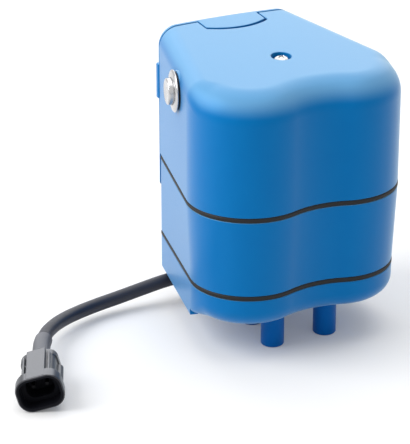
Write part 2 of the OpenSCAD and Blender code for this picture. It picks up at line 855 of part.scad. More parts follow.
module guide_tube(side) {
    lip_z = disc_top_z + stroke + rest_gap;
    flange_z = middle_top_z - flange_t;
    color(brass) place_lobe(side) difference() {
        union() {
            translate([0, 0, flange_z]) cylinder(d = flange_d, h = flange_t);
            translate([0, 0, flange_z]) cylinder(d = guide_od, h = coil_top_z - flange_z);
            translate([0, 0, lip_z]) cylinder(d = lip_d, h = flange_z - lip_z + eps);
        }
        cylinder(d = guide_id, h = far);
    }
}

module pole_core(side) {
    color(steel) place_lobe(side) {
        translate([0, 0, pole_z]) cylinder(d = guide_id - 2 * fit_gap, h = coil_top_z - pole_z);
        translate([0, 0, coil_top_z - eps])
            cylinder(d = pole_stud_d, h = yoke_t + core_nut_t + pole_stud_proud);
    }
}

module core_nut(side) {
    color(steel) place_lobe(side) translate([0, 0, yoke_top_z]) difference() {
        cylinder(d = core_nut_af / cos(30), h = core_nut_t, $fn = 6);
        translate([0, 0, -1]) cylinder(d = pole_stud_d + 2 * fit_gap, h = far);
    }
}

module bobbin(side) {
    tube_d = guide_od + 2 * fit_gap + 2 * former_wall;
    color([0.85, 0.83, 0.76]) place_lobe(side) translate([0, 0, coil_z]) difference() {
        union() {
            cylinder(d = coil_d, h = cheek_t);
            cylinder(d = tube_d, h = coil_len);
            translate([0, 0, coil_len - cheek_t]) cylinder(d = coil_d, h = cheek_t);
        }
        translate([0, 0, -1]) cylinder(d = guide_od + 2 * fit_gap, h = far);
    }
}

module winding(side) {
    tube_d = guide_od + 2 * fit_gap + 2 * former_wall;
    color(copper) place_lobe(side) translate([0, 0, coil_z + cheek_t + fit_gap]) difference() {
        cylinder(d = winding_d, h = coil_len - 2 * cheek_t - 2 * fit_gap);
        translate([0, 0, -1]) cylinder(d = tube_d + 2 * fit_gap, h = far);
    }
}

module yoke(side) {
    depth = yoke_front + yoke_back;
    color(steel) place_lobe(side) difference() {
        translate([-yoke_w / 2, -yoke_front, yoke_bottom_z]) difference() {
            cube([yoke_w, depth, coil_len + 2 * yoke_t]);
            translate([-1, -1, yoke_t]) cube([yoke_w + 2, depth - yoke_t + 1, coil_len]);
        }
        cylinder(d = guide_od + 2 * fit_gap, h = coil_top_z - 1);
        cylinder(d = pole_stud_d + 2 * fit_gap, h = far);
    }
}

// Circuit board
board_h = cavity_low_top - middle_top_z - board_headroom;
board_back = board_y + board_t;
part_room = 3.65;
can_d = 10;
can_len = rear_y - cavity_rear - board_back - part_room;
can_x = board_w / 2 - 9;
can_pitch = 12;
upper_z = middle_top_z + 0.55 * board_h;
lower_z = middle_top_z + 0.13 * board_h;
relay = [15, 0.75 * can_len, 12];
terminal = [12, 7, 7];
chip = [9, 1.8, 7];
part_x = 4;

module circuit_board() {
    color([0.05, 0.30, 0.14])
        translate([-board_w / 2, board_y, middle_top_z]) cube([board_w, board_t, board_h]);
}

module board_parts() {
    color([0.15, 0.15, 0.18]) {
        for (k = [0, 1])
            translate([k * can_pitch - can_x, board_back, upper_z]) rotate([-90, 0, 0])
                cylinder(d = can_d, h = can_len);
        translate([part_x, board_back, upper_z]) cube(relay);
        translate([-part_x - terminal.x, board_back, lower_z]) cube(terminal);
        translate([part_x, board_back, lower_z]) cube(chip);
    }
}

// Lead: gland, cable and two-way sealed plug
gland_block = [12, 13.5];
gland_face_x = -22;
gland_block_z = 5;
gland_nut_len = 8;
gland_y = rear_y - gland_back;
plug_at = [-133.3, gland_y - 75.1, 9.05];
plug_turn = -24.2;
plug_roll = -15;
cable_bore_d = cable_d + 2 * rest_gap;
// Points of the cable's route, from inside the gland nut to inside the plug's boot, with Y from the gland
route_from_gland = [
    [-22, 0, 11.5], [-30, 0, 11.5], [-38.5, 0.1, 10.9], [-48, 0.6, 9.3], [-61, 0.8, 7.2],
    [-73.6, -0.6, 6.2], [-84.6, -4.2, 6.3], [-94.2, -9.8, 7.2], [-102.6, -16.8, 8.2], [-109.4, -24.6, 8.8],
    [-114.4, -33, 9], [-118.5, -42, 9.05], [-120.7, -47, 9.05]
];
route = [for (p = route_from_gland) [p.x, p.y + gland_y, p.z]];
cable_sides = 10;

module cable_gland() {
    color(black) difference() {
        translate([gland_face_x, gland_y - gland_block.y / 2, gland_block_z])
            cube([gland_block.x, gland_block.y, underside_z - gland_block_z]);
        translate([gland_face_x, gland_y, gland_z]) along_x(-1, gland_block.x - 3, cable_bore_d);
    }
}

module gland_nut() {
    color(black) translate([gland_face_x, gland_y, gland_z]) difference() {
        rotate([0, -90, 0]) rotate(30) cylinder(d = gland_nut_af / cos(30), h = gland_nut_len, $fn = 6);
        along_x(-gland_nut_len - 1, 1, cable_bore_d);
    }
}

function route_heading(k) =
    let (a = route[max(k - 1, 0)], b = route[min(k + 1, len(route) - 1)]) (b - a) / norm(b - a);
function cable_ring(k) =
    let (t = route_heading(k), level = cross(t, [0, 0, 1]))
    let (across = level / norm(level), over = cross(across, t))
    [for (j = [cable_sides - 1:-1:0])
        let (b = 360 * j / cable_sides) route[k] + cable_d / 2 * (cos(b) * across + sin(b) * over)];

module cable() {
    last = len(route) - 1;
    color([0.12, 0.13, 0.18]) skin([for (k = [0:last]) cable_ring(k)], route[0], route[last]);
}

module place_plug() {
    translate(plug_at) rotate([0, 0, plug_turn]) rotate([0, plug_roll, 0]) rotate([-90, 0, 0]) children();
}

module stadium(w, h) {
    square([w - h, h], center = true);
    for (side = [-1, 1]) translate([side * (w - h) / 2, 0]) circle(d = h);
}

module plug_shell() {
    body_end = plug_collar_len + plug_body_len;
    panel_w = 8;
    groove_w = 1.4;
    groove_depth = 1;
    corner = 3;
    color(black) place_plug() difference() {
        union() {
            linear_extrude(plug_collar_len) stadium(plug_w, plug_h);
            translate([0, 0, plug_collar_len - eps]) linear_extrude(plug_body_len + eps) {
                square([plug_body_w - 2 * corner, plug_body_h], center = true);
                square([plug_body_w, plug_body_h - 2 * corner], center = true);
                for (x = [-1, 1], y = [-1, 1])
                    translate([x * (plug_body_w / 2 - corner), y * (plug_body_h / 2 - corner)])
                        circle(r = corner);
            }
        }
        translate([0, 0, -1]) linear_extrude(plug_collar_len - plug_wall + 1)
            stadium(plug_w - 2 * plug_wall, plug_h - 2 * plug_wall);
        translate([0, 0, -1]) linear_extrude(plug_mouth_depth + 1)
            stadium(plug_body_w - 2 * plug_wall, plug_body_h - 2 * plug_wall);
        for (x = [-1, 1])
            translate([x * panel_w / 2 - groove_w / 2, -plug_body_h / 2 - 1, plug_collar_len + 2])
                cube([groove_w, groove_depth + 1, plug_body_len - 4]);
        translate([0, 0, body_end - 6]) cylinder(d = cable_bore_d, h = far / 8);
    }
}

module plug_pins() {
    pitch = 6;
    pin_d = 1.5;
    pin_len = 6;
    color(steel) place_plug() for (x = [-1, 1])
        translate([x * pitch / 2, 0, plug_mouth_depth - pin_len]) cylinder(d = pin_d, h = pin_len);
}

module plug_boot() {
    body_end = plug_collar_len + plug_body_len;
    color(black) place_plug() translate([0, 0, body_end]) difference() {
        cylinder(d1 = plug_body_h - 1, d2 = cable_d + 1.6, h = boot_len);
        translate([0, 0, -1]) cylinder(d = cable_bore_d, h = far / 8);
    }
}

top_cover();
middle_body();
base();
upper_gasket();
lower_gasket();
cover_screw();
cover_pillar();
base_screws();
filter_door();
hinge_pin();
air_filter();
button_bezel();
button_cap();
button_seal();
button_nut();
button_switch();
valve_seat(-1);  // left_valve_seat
valve_seat(1);  // right_valve_seat
valve_disc(-1);  // left_valve_disc
valve_disc(1);  // right_valve_disc
plunger(-1);  // left_plunger
plunger(1);  // right_plunger
return_spring(-1);  // left_return_spring
return_spring(1);  // right_return_spring
guide_tube(-1);  // left_guide_tube
guide_tube(1);  // right_guide_tube
pole_core(-1);  // left_pole_core
pole_core(1);  // right_pole_core
core_nut(-1);  // left_core_nut
core_nut(1);  // right_core_nut
bobbin(-1);  // left_bobbin
bobbin(1);  // right_bobbin
winding(-1);  // left_winding
winding(1);  // right_winding
yoke(-1);  // left_yoke
yoke(1);  // right_yoke
circuit_board();
board_parts();
pulse_nipple(-1);  // pulse_nipple_left
pulse_nipple(1);  // pulse_nipple_right
air_nipple();
vacuum_inlet();
cable_gland();
gland_nut();
cable();
plug_boot();
plug_shell();
plug_pins();
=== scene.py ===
"""Looks of the milking pulsator: a lobed blue housing in tiers, ports below, and a lead with a plug."""
import json
import math

import bmesh
import bpy
import numpy as np
from mathutils import Matrix, Vector, noise
from mathutils.geometry import delaunay_2d_cdt


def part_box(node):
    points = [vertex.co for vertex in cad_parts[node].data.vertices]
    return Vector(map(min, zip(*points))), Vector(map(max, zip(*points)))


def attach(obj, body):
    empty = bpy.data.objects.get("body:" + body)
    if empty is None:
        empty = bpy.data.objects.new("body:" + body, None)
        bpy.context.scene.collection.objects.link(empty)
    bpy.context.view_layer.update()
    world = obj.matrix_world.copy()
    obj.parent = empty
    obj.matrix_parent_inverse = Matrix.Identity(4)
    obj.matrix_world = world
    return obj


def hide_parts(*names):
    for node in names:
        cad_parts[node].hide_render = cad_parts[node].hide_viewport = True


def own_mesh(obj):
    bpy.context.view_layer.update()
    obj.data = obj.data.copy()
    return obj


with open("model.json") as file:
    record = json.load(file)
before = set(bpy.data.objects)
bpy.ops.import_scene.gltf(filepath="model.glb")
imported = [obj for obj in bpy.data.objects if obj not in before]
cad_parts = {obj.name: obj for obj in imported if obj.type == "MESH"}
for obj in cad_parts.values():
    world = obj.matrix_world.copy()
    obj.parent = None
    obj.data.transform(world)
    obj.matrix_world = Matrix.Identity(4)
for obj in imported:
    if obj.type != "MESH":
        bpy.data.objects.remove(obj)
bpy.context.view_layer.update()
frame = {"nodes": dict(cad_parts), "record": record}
MM = 0.001

# Plan of the housing, in millimetres as in the part's source
HOUSING_W = 100.5
HOUSING_DEPTH = 94.5
HOUSING_H = 128.8
LOBE_R = 28.0
SADDLE_R = 39.5
REAR_W = 70.0
CORNER_R = 3.0
FOOT_TAPER = 1.6
DOOR_T = 4.0
DOOR_GAP = 0.3
LOBE_X = HOUSING_W / 2 - LOBE_R
LOBE_Y = LOBE_R - HOUSING_DEPTH / 2
REAR_Y = HOUSING_DEPTH / 2 - DOOR_T
COVER_REAR = REAR_Y - 0.6
SADDLE_Y = LOBE_Y - math.sqrt((LOBE_R + SADDLE_R) ** 2 - LOBE_X ** 2)
SADDLE_A = math.degrees(math.atan2(LOBE_Y - SADDLE_Y, LOBE_X))
LOBE_A = SADDLE_A - 180
REAR_FROM_LOBE = (REAR_W / 2 - LOBE_X, REAR_Y - LOBE_Y)
SIDE_A = math.degrees(
    math.atan2(REAR_FROM_LOBE[1], REAR_FROM_LOBE[0])
    - math.acos(LOBE_R / math.hypot(*REAR_FROM_LOBE))
)

# Top of the cover
TOP_SLOPE = 0.07
TOP_CROWN = 0.0006
FRONT_FILLET = 13.5
SIDE_FILLET = 9.0
REAR_FILLET = 3.0
SCREW_Y = LOBE_Y + 11.7
COUNTERBORE_R = 4.6
COUNTERBORE_Z = HOUSING_H - 3.2
EDGE_ROUND = 0.35

# Filter door
TONGUE_W = 30.0
TONGUE_LEN = 13.5
TONGUE_T = 2.6
TONGUE_R = 27.0
TONGUE_GAP = 0.7
TONGUE_CLEAR = 0.4
FINGER_GAP = 1.1
SLOT_COUNT = 5
SLOT_W = 34.0
SLOT_H = 2.6
SLOT_PITCH = 6.4

# Base
BASE_FILLET = 8.0
BASE_SIDE_FILLET = 1.0
SKIRT_T = 4.0
SCREW_SEAT = 3.2
SCREW_HOLE_R = 3.8


def box_mm(node):
    """Lowest and highest corner of a CAD node, in millimetres."""
    low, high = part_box(node)
    return np.array(low) / MM, np.array(high) / MM


def polar(r, degrees):
    a = math.radians(degrees)
    return np.array([r * math.cos(a), r * math.sin(a)])


def top_z(x, y):
    return HOUSING_H + TOP_SLOPE * (y - SCREW_Y) - TOP_CROWN * x * x


def on_top(x, y):
    return (x, y, top_z(x, y))


def smooth_step(t):
    t = min(max(t, 0.0), 1.0)
    return t * t * (3 - 2 * t)


# Colours and materials
def linear(colour):
    """Linear RGBA of an sRGB hex colour."""
    parts = [int(colour[i:i + 2], 16) / 255 for i in (1, 3, 5)]
    lit = [c / 12.92 if c <= 0.04045 else ((c + 0.055) / 1.055) ** 2.4 for c in parts]
    return (*lit, 1.0)


def feed(tree, node, inputs):
    """Gives each named input of a node a value, a socket or another node's first output."""
    for name, value in inputs.items():
        if isinstance(value, bpy.types.Node):
            value = value.outputs[0]
        if isinstance(value, bpy.types.NodeSocket):
            tree.links.new(value, node.inputs[name])
        else:
            node.inputs[name].default_value = value


def add(tree, kind, inputs=None, **settings):
    """Adds a node, with its inputs and settings."""
    made = tree.nodes.new(kind)
    for name, value in settings.items():
        setattr(made, name, value)
    feed(tree, made, inputs or {})
    return made


def calculate(tree, operation, first, second):
    return add(tree, "ShaderNodeMath", {0: first, 1: second}, operation=operation)


MIX_A, MIX_B, MIX_RESULT = 6, 7, 2


def mix_colours(tree, share, first, second):
    """A colour between two others, each a colour or a socket, by the value of a socket."""
    inputs = {"Factor": share, MIX_A: first, MIX_B: second}
    return add(tree, "ShaderNodeMix", inputs, data_type="RGBA").outputs[MIX_RESULT]


def mottle(tree, place, size_mm, detail):
    """A noise that repeats about once every so many millimetres."""
    return add(tree, "ShaderNodeTexNoise", {"Vector": place, "Scale": 1.0 / (size_mm * MM), "Detail": detail})


HAZE_TINT = "#D2F2FF"
HAZE_ROUGHNESS = 0.35
DRIFT_DETAIL = 3.0
GRAIN_DETAIL = 4.0
GRAIN_LOW, GRAIN_HIGH = 0.3, 0.7


def surface(
    name, colour, shade, rough, grain_mm, relief_mm,
    metallic=0.0, ior=None, drift_mm=9.0, gloss_tint="#FFFFFF", haze=0.0, painted_top_light=None,
):
    """A finish with a slow drift between two near colours, and a fine grain in roughness and relief.
    haze is a pale bloom at grazing angles. The last argument is painted light: a pale colour mixed in on faces
    turned upwards, a painted highlight for the light from above; it gives that colour, its share, and the
    upward parts of the normal between which it comes in."""
    material = bpy.data.materials.new(name)
    material.use_nodes = True
    tree = material.node_tree
    where = add(tree, "ShaderNodeTexCoord").outputs
    drift = mottle(tree, where["Object"], drift_mm, DRIFT_DETAIL)
    base = mix_colours(tree, drift, linear(colour), linear(shade))
    # Painted light: faces turned upwards take on a paler colour, a painted highlight for the light from above
    if painted_top_light:
        pale, most, low, high = painted_top_light
        facing = add(tree, "ShaderNodeSeparateXYZ", {0: where["Normal"]})
        share = add(tree, "ShaderNodeMapRange", {
            "Value": facing.outputs["Z"], "From Min": low, "From Max": high, "To Min": 0.0, "To Max": most,
        }, interpolation_type="SMOOTHSTEP")
        base = mix_colours(tree, share, base, linear(pale))
    grain = mottle(tree, where["Object"], grain_mm, GRAIN_DETAIL)
    roughness = add(tree, "ShaderNodeMapRange", {
        "Value": grain, "From Min": GRAIN_LOW, "From Max": GRAIN_HIGH, "To Min": rough[0], "To Max": rough[1],
    })
    bump = add(tree, "ShaderNodeBump", {"Height": grain, "Distance": relief_mm * MM, "Strength": 1.0})
    shader = tree.nodes["Principled BSDF"]
    if ior:
        shader.inputs["IOR"].default_value = ior
    feed(tree, shader, {
        "Base Color": base, "Metallic": metallic, "Roughness": roughness, "Normal": bump,
        "Specular Tint": linear(gloss_tint),
        "Sheen Weight": haze, "Sheen Roughness": HAZE_ROUGHNESS, "Sheen Tint": linear(HAZE_TINT),
    })
    return material


# Finishes by the record's slots, and three more
FINISHES = {
    # Moulded ABS: satin, slightly textured by the mould, with a blue gloss and a pale bloom at grazing
    # angles; the housing's upward faces are painted paler, a painted highlight for the light from above
    "housing_plastic": surface(
        "moulded blue ABS", "#006AAE", "#006EB1", (0.30, 0.38), 0.5, 0.004,
        ior=1.53, gloss_tint="#4FA6E4", haze=0.52, painted_top_light=("#93C6E2", 0.42, 0.2, 0.75),
    ),
    # Ports: the housing's blue made darker, painted shade for the ports under the base
    "port_plastic": surface(
        "moulded deep blue ABS", "#0058A4", "#005CA8", (0.40, 0.48), 0.5, 0.004,
        ior=1.53, gloss_tint="#4FA6E4", haze=0.1,
    ),
    # Nitrile and valve rubber: black, dull, faintly dusty
    "gasket_rubber": surface("nitrile rubber", "#0C0C0E", "#131214", (0.5, 0.6), 0.4, 0.01, ior=1.4),
    "valve_rubber": surface("moulded valve rubber", "#202021", "#272726", (0.55, 0.65), 0.6, 0.01, ior=1.5),
    # Metals: bright where turned, duller where drawn or plated, all with fine marks
    "bright_steel": surface(
        "turned stainless steel", "#B6B6B8", "#C0C0C0", (0.16, 0.24), 0.6, 0.001, metallic=1.0,
    ),
    "magnet_steel": surface(
        "plated magnet steel", "#B4B6BA", "#BEBFC2", (0.30, 0.42), 0.5, 0.004, metallic=1.0,
    ),
    "turned_brass": surface("turned brass", "#C3A355", "#CCAD60", (0.22, 0.34), 0.4, 0.003, metallic=1.0),
    "copper_wire": surface(
        "enamelled copper wire", "#B4653A", "#BE6F42", (0.24, 0.34), 0.4, 0.002, metallic=1.0,
    ),
    # Hidden plastics: creamy coil formers, a glossy green board and its black components
    "former_plastic": surface("natural nylon", "#DAD6C4", "#E0DCCC", (0.42, 0.52), 0.6, 0.005, ior=1.53),
    "board_laminate": surface("green solder resist", "#0B5A2B", "#10662F", (0.28, 0.40), 0.8, 0.01, ior=1.5),
    "component_plastic": surface(
        "moulded component resin", "#26262B", "#2E2E33", (0.45, 0.58), 0.4, 0.006, ior=1.5,
    ),
    # Flexible PVC sheath: navy black, satin, faintly ribbed by the wires inside
    "cable_sheath": surface("navy black PVC sheath", "#171A26", "#1F2230", (0.40, 0.50), 1.2, 0.03, ior=1.52),
    # Glass filled nylon: black, satin; its flat top is painted grey, a painted highlight for the light from
    # above
    "plug_plastic": surface(
        "glass filled black nylon", "#1C1D24", "#25262E", (0.34, 0.44), 0.5, 0.008,
        ior=1.53, haze=0.1, painted_top_light=("#B6B8BE", 0.28, 0.86, 0.965),
    ),
    # Silicone rubber: dark grey, dull; its top is painted paler, a painted highlight for the light from above
    "boot_rubber": surface(
        "grey silicone rubber", "#3C3E45", "#46484F", (0.45, 0.55), 0.5, 0.008,
        ior=1.45, painted_top_light=("#B8BAC0", 0.18, 0.5, 0.95),
    ),
    # Open-cell foam: dark grey, all pores
    "filter_foam": surface(
        "open-cell polyurethane foam", "#33363A", "#4A4E53", (0.85, 0.95), 0.9, 0.4, ior=1.4, drift_mm=1.2,
    ),
}
# Zinc plate: bright, faintly uneven; the tinned contacts: painted dark and dull, painted shade for the deep
# mouth; the mouth's lining: painted black and dull, painted shade
screw_steel = surface(
    "bright zinc plated steel", "#BDBDBE", "#C8C8C6", (0.18, 0.28), 0.4, 0.002, metallic=1.0,
)
pin_painted_shade = surface("dull tinned contact", "#1C1C1E", "#242426", (0.5, 0.6), 0.4, 0.003, metallic=1.0)
mouth_painted_shade = surface("black silicone seal", "#0D0E14", "#111219", (0.6, 0.7), 0.5, 0.01, ior=1.2)


# Mesh making
def inside(point, loops):
    """True if a point of the plane is in the region that the loops bound."""
    u, v = point
    crossings = 0
    for loop in loops:
        for (u0, v0), (u1, v1) in zip(loop, [*loop[1:], loop[0]]):
            if (v0 > v) != (v1 > v) and u < u0 + (v - v0) / (v1 - v0) * (u1 - u0):
                crossings += 1
    return crossings % 2 == 1


def fill(loops, spacing=None):
    """Points and triangles over a plane region: the first loop bounds it, the others are holes."""
    loops = [[(float(u), float(v)) for u, v in loop] for loop in loops]
    points = []
    edges = []
    for loop in loops:
        start = len(points)
        points += loop
        edges += [(start + i, start + (i + 1) % len(loop)) for i in range(len(loop))]
    if spacing:
        start = np.array([points[i] for i, _ in edges])
        along = np.array([points[j] for _, j in edges]) - start
        length = np.maximum((along ** 2).sum(1), 1e-9)
        low = start.min(0)
        high = start.max(0)
        for u in np.arange(low[0], high[0], spacing):
            for v in np.arange(low[1], high[1], spacing):
                share = np.clip((((u, v) - start) * along).sum(1) / length, 0, 1)
                gap = (u, v) - start - along * share[:, None]
                if np.hypot(gap[:, 0], gap[:, 1]).min() > 0.5 * spacing and inside((u, v), loops):
                    points.append((u, v))
    made = delaunay_2d_cdt([Vector(p) for p in points], edges, [], 0, 1e-5)
    corners = made[0]
    kept = [f for f in made[2] if inside(sum((corners[i] for i in f), Vector((0, 0))) / len(f), loops)]
    return [tuple(c) for c in corners], kept


class Shell:
    """Points and faces in millimetres, gathered into one mesh."""

    def __init__(self):
        self.points = []
        self.faces = []

    def add(self, points, faces):
        start = len(self.points)
        self.points += [tuple(float(c) for c in p) for p in points]
        self.faces += [[start + i for i in f] for f in faces]

    def rows(self, rows, closed=False):
        """Skins a list of rows with equal numbers of points."""
        n = len(rows[0])
        last = n if closed else n - 1
        self.add(
            [p for row in rows for p in row],
            [
                [k * n + i, k * n + (i + 1) % n, (k + 1) * n + (i + 1) % n, (k + 1) * n + i]
                for k in range(len(rows) - 1)
                for i in range(last)
            ],
        )

    def caps(self, rings, ends=(True, True)):
        """Closes the first and the last ring of a skin, where wanted."""
        for ring, wanted in zip((rings[0], rings[-1]), ends):
            if wanted:
                self.add(ring, [list(range(len(ring)))])

    def flat(self, loops, lift, spacing=None):
        """Fills a plane region; lift is its height, or a function that puts its points in space."""
        points, faces = fill(loops, spacing)
        self.add([lift(u, v) if callable(lift) else (u, v, lift) for u, v in points], faces)

    def recess(self, loop, rim, floor, spacing=None, closed=True):
        """Sinks a wall from a rim to a floor at one height, and fills the floor."""
        self.rows([rim, [(x, y, floor) for x, y in loop]], closed)
        self.flat([loop], floor, spacing)

    def turned(self, profile, place, segments=48, closed=False):
        """A turned form: profile gives (radius, height) pairs and place puts (x, y, z) in space."""
        rings = [
            [place(*polar(max(r, 1e-4), 360 * k / segments), h) for k in range(segments)]
            for r, h in profile
        ]
        if closed:
            rings.append(rings[0])
        self.rows(rings, closed=True)
        if not closed:
            self.caps(rings)

    def take(self, work):
        """Adds what a bmesh holds, and frees it."""
        work.verts.index_update()
        self.add([v.co[:] for v in work.verts], [[v.index for v in f.verts] for f in work.faces])
        work.free()

    def mesh(self, name):
        """All of it as a mesh, in metres."""
        made = bpy.data.meshes.new(name)
        made.from_pydata([tuple(c * MM for c in p) for p in self.points], [], self.faces)
        return made


def new_object(name, data):
    made = bpy.data.objects.new(name, data)
    bpy.context.scene.collection.objects.link(made)
    return made


def as_mesh(obj):
    """Replaces an object's data by the mesh that its modifiers give, and removes them."""
    bpy.context.view_layer.update()
    graph = bpy.context.evaluated_depsgraph_get()
    made = bpy.data.meshes.new_from_object(obj.evaluated_get(graph), depsgraph=graph)
    if obj.type != "MESH":
        name = obj.name
        bpy.data.objects.remove(obj)
        return new_object(name, made)
    obj.modifiers.clear()
    obj.data = made
    return obj


MERGE_MM = 0.004
THIN_MM = 0.002
ROUND_ANGLE = 38
ROUND_STEPS = 3


def clean(mesh, merge_mm, thin_mm=None):
    """Merges doubles, takes out thin faces where wanted, and turns the faces outwards."""
    work = bmesh.new()
    work.from_mesh(mesh)
    bmesh.ops.remove_doubles(work, verts=work.verts, dist=merge_mm * MM)
    if thin_mm:
        bmesh.ops.dissolve_degenerate(work, edges=work.edges, dist=thin_mm * MM)
    bmesh.ops.recalc_face_normals(work, faces=work.faces)
    work.to_mesh(mesh)
    work.free()


def finish_mesh(obj, round_mm=0.0, sharp=32):
    """Cleans an object's mesh, rounds its sharp edges and shades the rest smooth."""
    clean(obj.data, MERGE_MM, THIN_MM)
    if round_mm:
        bevel = obj.modifiers.new("edge rounding", "BEVEL")
        bevel.width = round_mm * MM
        bevel.segments = ROUND_STEPS
        bevel.limit_method = "ANGLE"
        bevel.angle_limit = math.radians(ROUND_ANGLE)
        bevel.use_clamp_overlap = False
        bevel.miter_outer = "MITER_ARC"
        as_mesh(obj)
    obj.data.polygons.foreach_set("use_smooth", [True] * len(obj.data.polygons))
    obj.data.set_sharp_from_angle(angle=math.radians(sharp))
    weighted = obj.modifiers.new("face weighted normals", "WEIGHTED_NORMAL")
    weighted.keep_sharp = True
    weighted.weight = 60
    return as_mesh(obj)


def piece(name, shell, slot, replaces=(), body="housing", material=None, **finish):
    """Makes a shell a finished piece that rides on a body."""
    obj = finish_mesh(new_object(name, shell.mesh(name)), **finish)
    return settle(obj, slot, replaces, body, material)


def settle(obj, slot, replaces=(), body="housing", material=None):
    """Gives a piece its slot's finish or another, its body and the CAD nodes that it stands for."""
    obj.data.materials.clear()
    obj.data.materials.append(material or FINISHES[slot])
    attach(obj, body)
    if replaces:
        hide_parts(*replaces)
    return obj


# Camera at the photograph's place, turned to look at the middle of its frame
FRAME_W, FRAME_H = 410, 444
EYE = Vector((-0.450875, -0.81632, 0.444289))
AHEAD = Vector((0.4418, 0.8012, -0.4036))
RIGHT = Vector((0.8757, -0.4829, 0.0))
UP = Vector((0.1949, 0.3534, 0.9149))
FOCAL_PX = 2217.39
CENTRE_PX = (269.37, 248.37)
SENSOR_MM = 36.0
camera_data = bpy.data.cameras.new("camera")
camera = new_object("camera", camera_data)
off_x = (FRAME_W / 2 - CENTRE_PX[0]) / FOCAL_PX
off_y = (FRAME_H / 2 - CENTRE_PX[1]) / FOCAL_PX
camera.location = EYE
camera.rotation_euler = (AHEAD + RIGHT * off_x - UP * off_y).to_track_quat("-Z", "Y").to_euler()
camera_data.sensor_width = SENSOR_MM
camera_data.lens = FOCAL_PX / FRAME_H * SENSOR_MM
camera_data.clip_start = 0.05
camera_data.clip_end = 50.0
bpy.context.scene.camera = camera

# Lead: the cable's route, as in the part's source
CABLE_D = 6.4
GLAND_Y = REAR_Y - 9.45
ROUTE_FROM_GLAND = [
    (-22, 0, 11.5), (-30, 0, 11.5), (-38.5, 0.1, 10.9), (-48, 0.6, 9.3), (-61, 0.8, 7.2),
    (-73.6, -0.6, 6.2), (-84.6, -4.2, 6.3), (-94.2, -9.8, 7.2), (-102.6, -16.8, 8.2),
    (-109.4, -24.6, 8.8), (-114.4, -33, 9), (-118.5, -42, 9.05), (-120.7, -47, 9.05),
]
ROUTE = [Vector((x, y + GLAND_Y, z)) * MM for x, y, z in ROUTE_FROM_GLAND]


def tube(name, places, diameter):
    """A round tube along some places."""
    curve = bpy.data.curves.new(name, "CURVE")
    curve.dimensions = "3D"
    curve.resolution_u = 10
    curve.bevel_depth = diameter / 2 * MM
    curve.bevel_resolution = 8
    curve.use_fill_caps = True
    spline = curve.splines.new("BEZIER")
    spline.bezier_points.add(len(places) - 1)
    for point, place in zip(spline.bezier_points, places):
        point.co = place
        point.handle_left_type = "AUTO"
        point.handle_right_type = "AUTO"
    return new_object(name, curve)


def cable():
    return settle(tube("cable_sheath", ROUTE, CABLE_D), "cable_sheath", ("cable",))


# Stations round the plan, each giving its point at any inset
LOBE_STEPS = 44
SIDE_STEPS = 16
CORNER_STEPS = 6
REAR_STEPS = 16
SADDLE_STEPS = 18
BLEND_FROM_A = -15


def spaced(start, end, steps):
    return [start + (end - start) * k / steps for k in range(steps + 1)]


def quarter_round(r, steps):
    """Pairs of inset and drop along a rounded edge."""
    return [r * (1 - polar(1, a)) for a in spaced(0, 90, steps)]


RIGHT_LOBE = [("lobe", 1, a) for a in spaced(SIDE_A, LOBE_A, LOBE_STEPS)]
LEFT_LOBE = [("lobe", -1, a) for a in reversed(spaced(SIDE_A, LOBE_A, LOBE_STEPS))]
SADDLE = [("saddle", 0, a) for a in spaced(SADDLE_A, 180 - SADDLE_A, SADDLE_STEPS)[1:-1]]
RIGHT_SIDE = [("side", 1, t) for t in spaced(1, 0, SIDE_STEPS)[:-1]]
LEFT_SIDE = [("side", -1, t) for t in spaced(0, 1, SIDE_STEPS)[1:]]
LEFT_CORNER = [("corner", -1, a) for a in spaced(SIDE_A, 90, CORNER_STEPS)[1:]]
RIGHT_CORNER = [("corner", 1, a) for a in spaced(90, SIDE_A, CORNER_STEPS)[:-1]]
REAR = [("rear", 0, t) for t in spaced(-1, 1, REAR_STEPS)[1:-1]]
FRONT_RUN = RIGHT_SIDE + RIGHT_LOBE + SADDLE + LEFT_LOBE + LEFT_SIDE
FULL_PLAN = FRONT_RUN + LEFT_CORNER + REAR + RIGHT_CORNER


def side_x(y, inset=0.0):
    a = math.radians(SIDE_A)
    return LOBE_X + (LOBE_R - inset - (y - LOBE_Y) * math.sin(a)) / math.cos(a)


def lobe_point(a, inset):
    return np.array([LOBE_X, LOBE_Y]) + polar(LOBE_R - inset, a)


def corner_point(a, inset):
    r = max(CORNER_R - inset, 0.2)
    y = REAR_Y - inset - r
    return np.array([side_x(y, inset + r), y]) + polar(r, a)


def cut_end(inset):
    """Where the side wall meets the rear of the cover, which leans forward over the top rounding."""
    y = REAR_Y + (COVER_REAR - REAR_Y) * rear_lean(inset)
    return np.array([side_x(y, inset), y])


def rear_lean(inset):
    """Share of the rear gap's opening at an inset of the side's rounding: 0 at the wall, 1 at the rim."""
    c = min(max(1 - inset / SIDE_FILLET, 0.0), 1.0)
    return math.sqrt(1 - c * c)


def cover_rear_y(z):
    """Place of the cover's rear face at a height, to match the ends of its rows."""
    rim_z = top_z(side_x(COVER_REAR, SIDE_FILLET), COVER_REAR)
    share = 1 - (rim_z - z) / SIDE_FILLET
    return REAR_Y + (COVER_REAR - REAR_Y) * min(max(share, 0.0), 1.0)


def round_end(inset):
    """Where the side wall meets the rounded rear corner of the lower tiers."""
    return corner_point(SIDE_A, inset)


def plan_point(station, inset, side_end):
    kind, side, value = station
    if kind == "lobe":
        x, y = lobe_point(value, inset)
    elif kind == "side":
        x, y = (1 - value) * lobe_point(SIDE_A, inset) + value * side_end(inset)
    elif kind == "corner":
        x, y = corner_point(value, inset)
    elif kind == "rear":
        x, y = value * corner_point(90, inset)[0], REAR_Y - inset
    else:
        x, y = np.array([0, SADDLE_Y]) + polar(SADDLE_R + inset, value)
    return np.array([x * (side or 1), y])


def foot_inset(station):
    """Draw-in of the wall's foot: all of it round the front, fading to nothing at the rear corners."""
    kind, _, value = station
    if kind in ("lobe", "saddle"):
        return FOOT_TAPER
    return FOOT_TAPER * (1 - value) if kind == "side" else 0.0


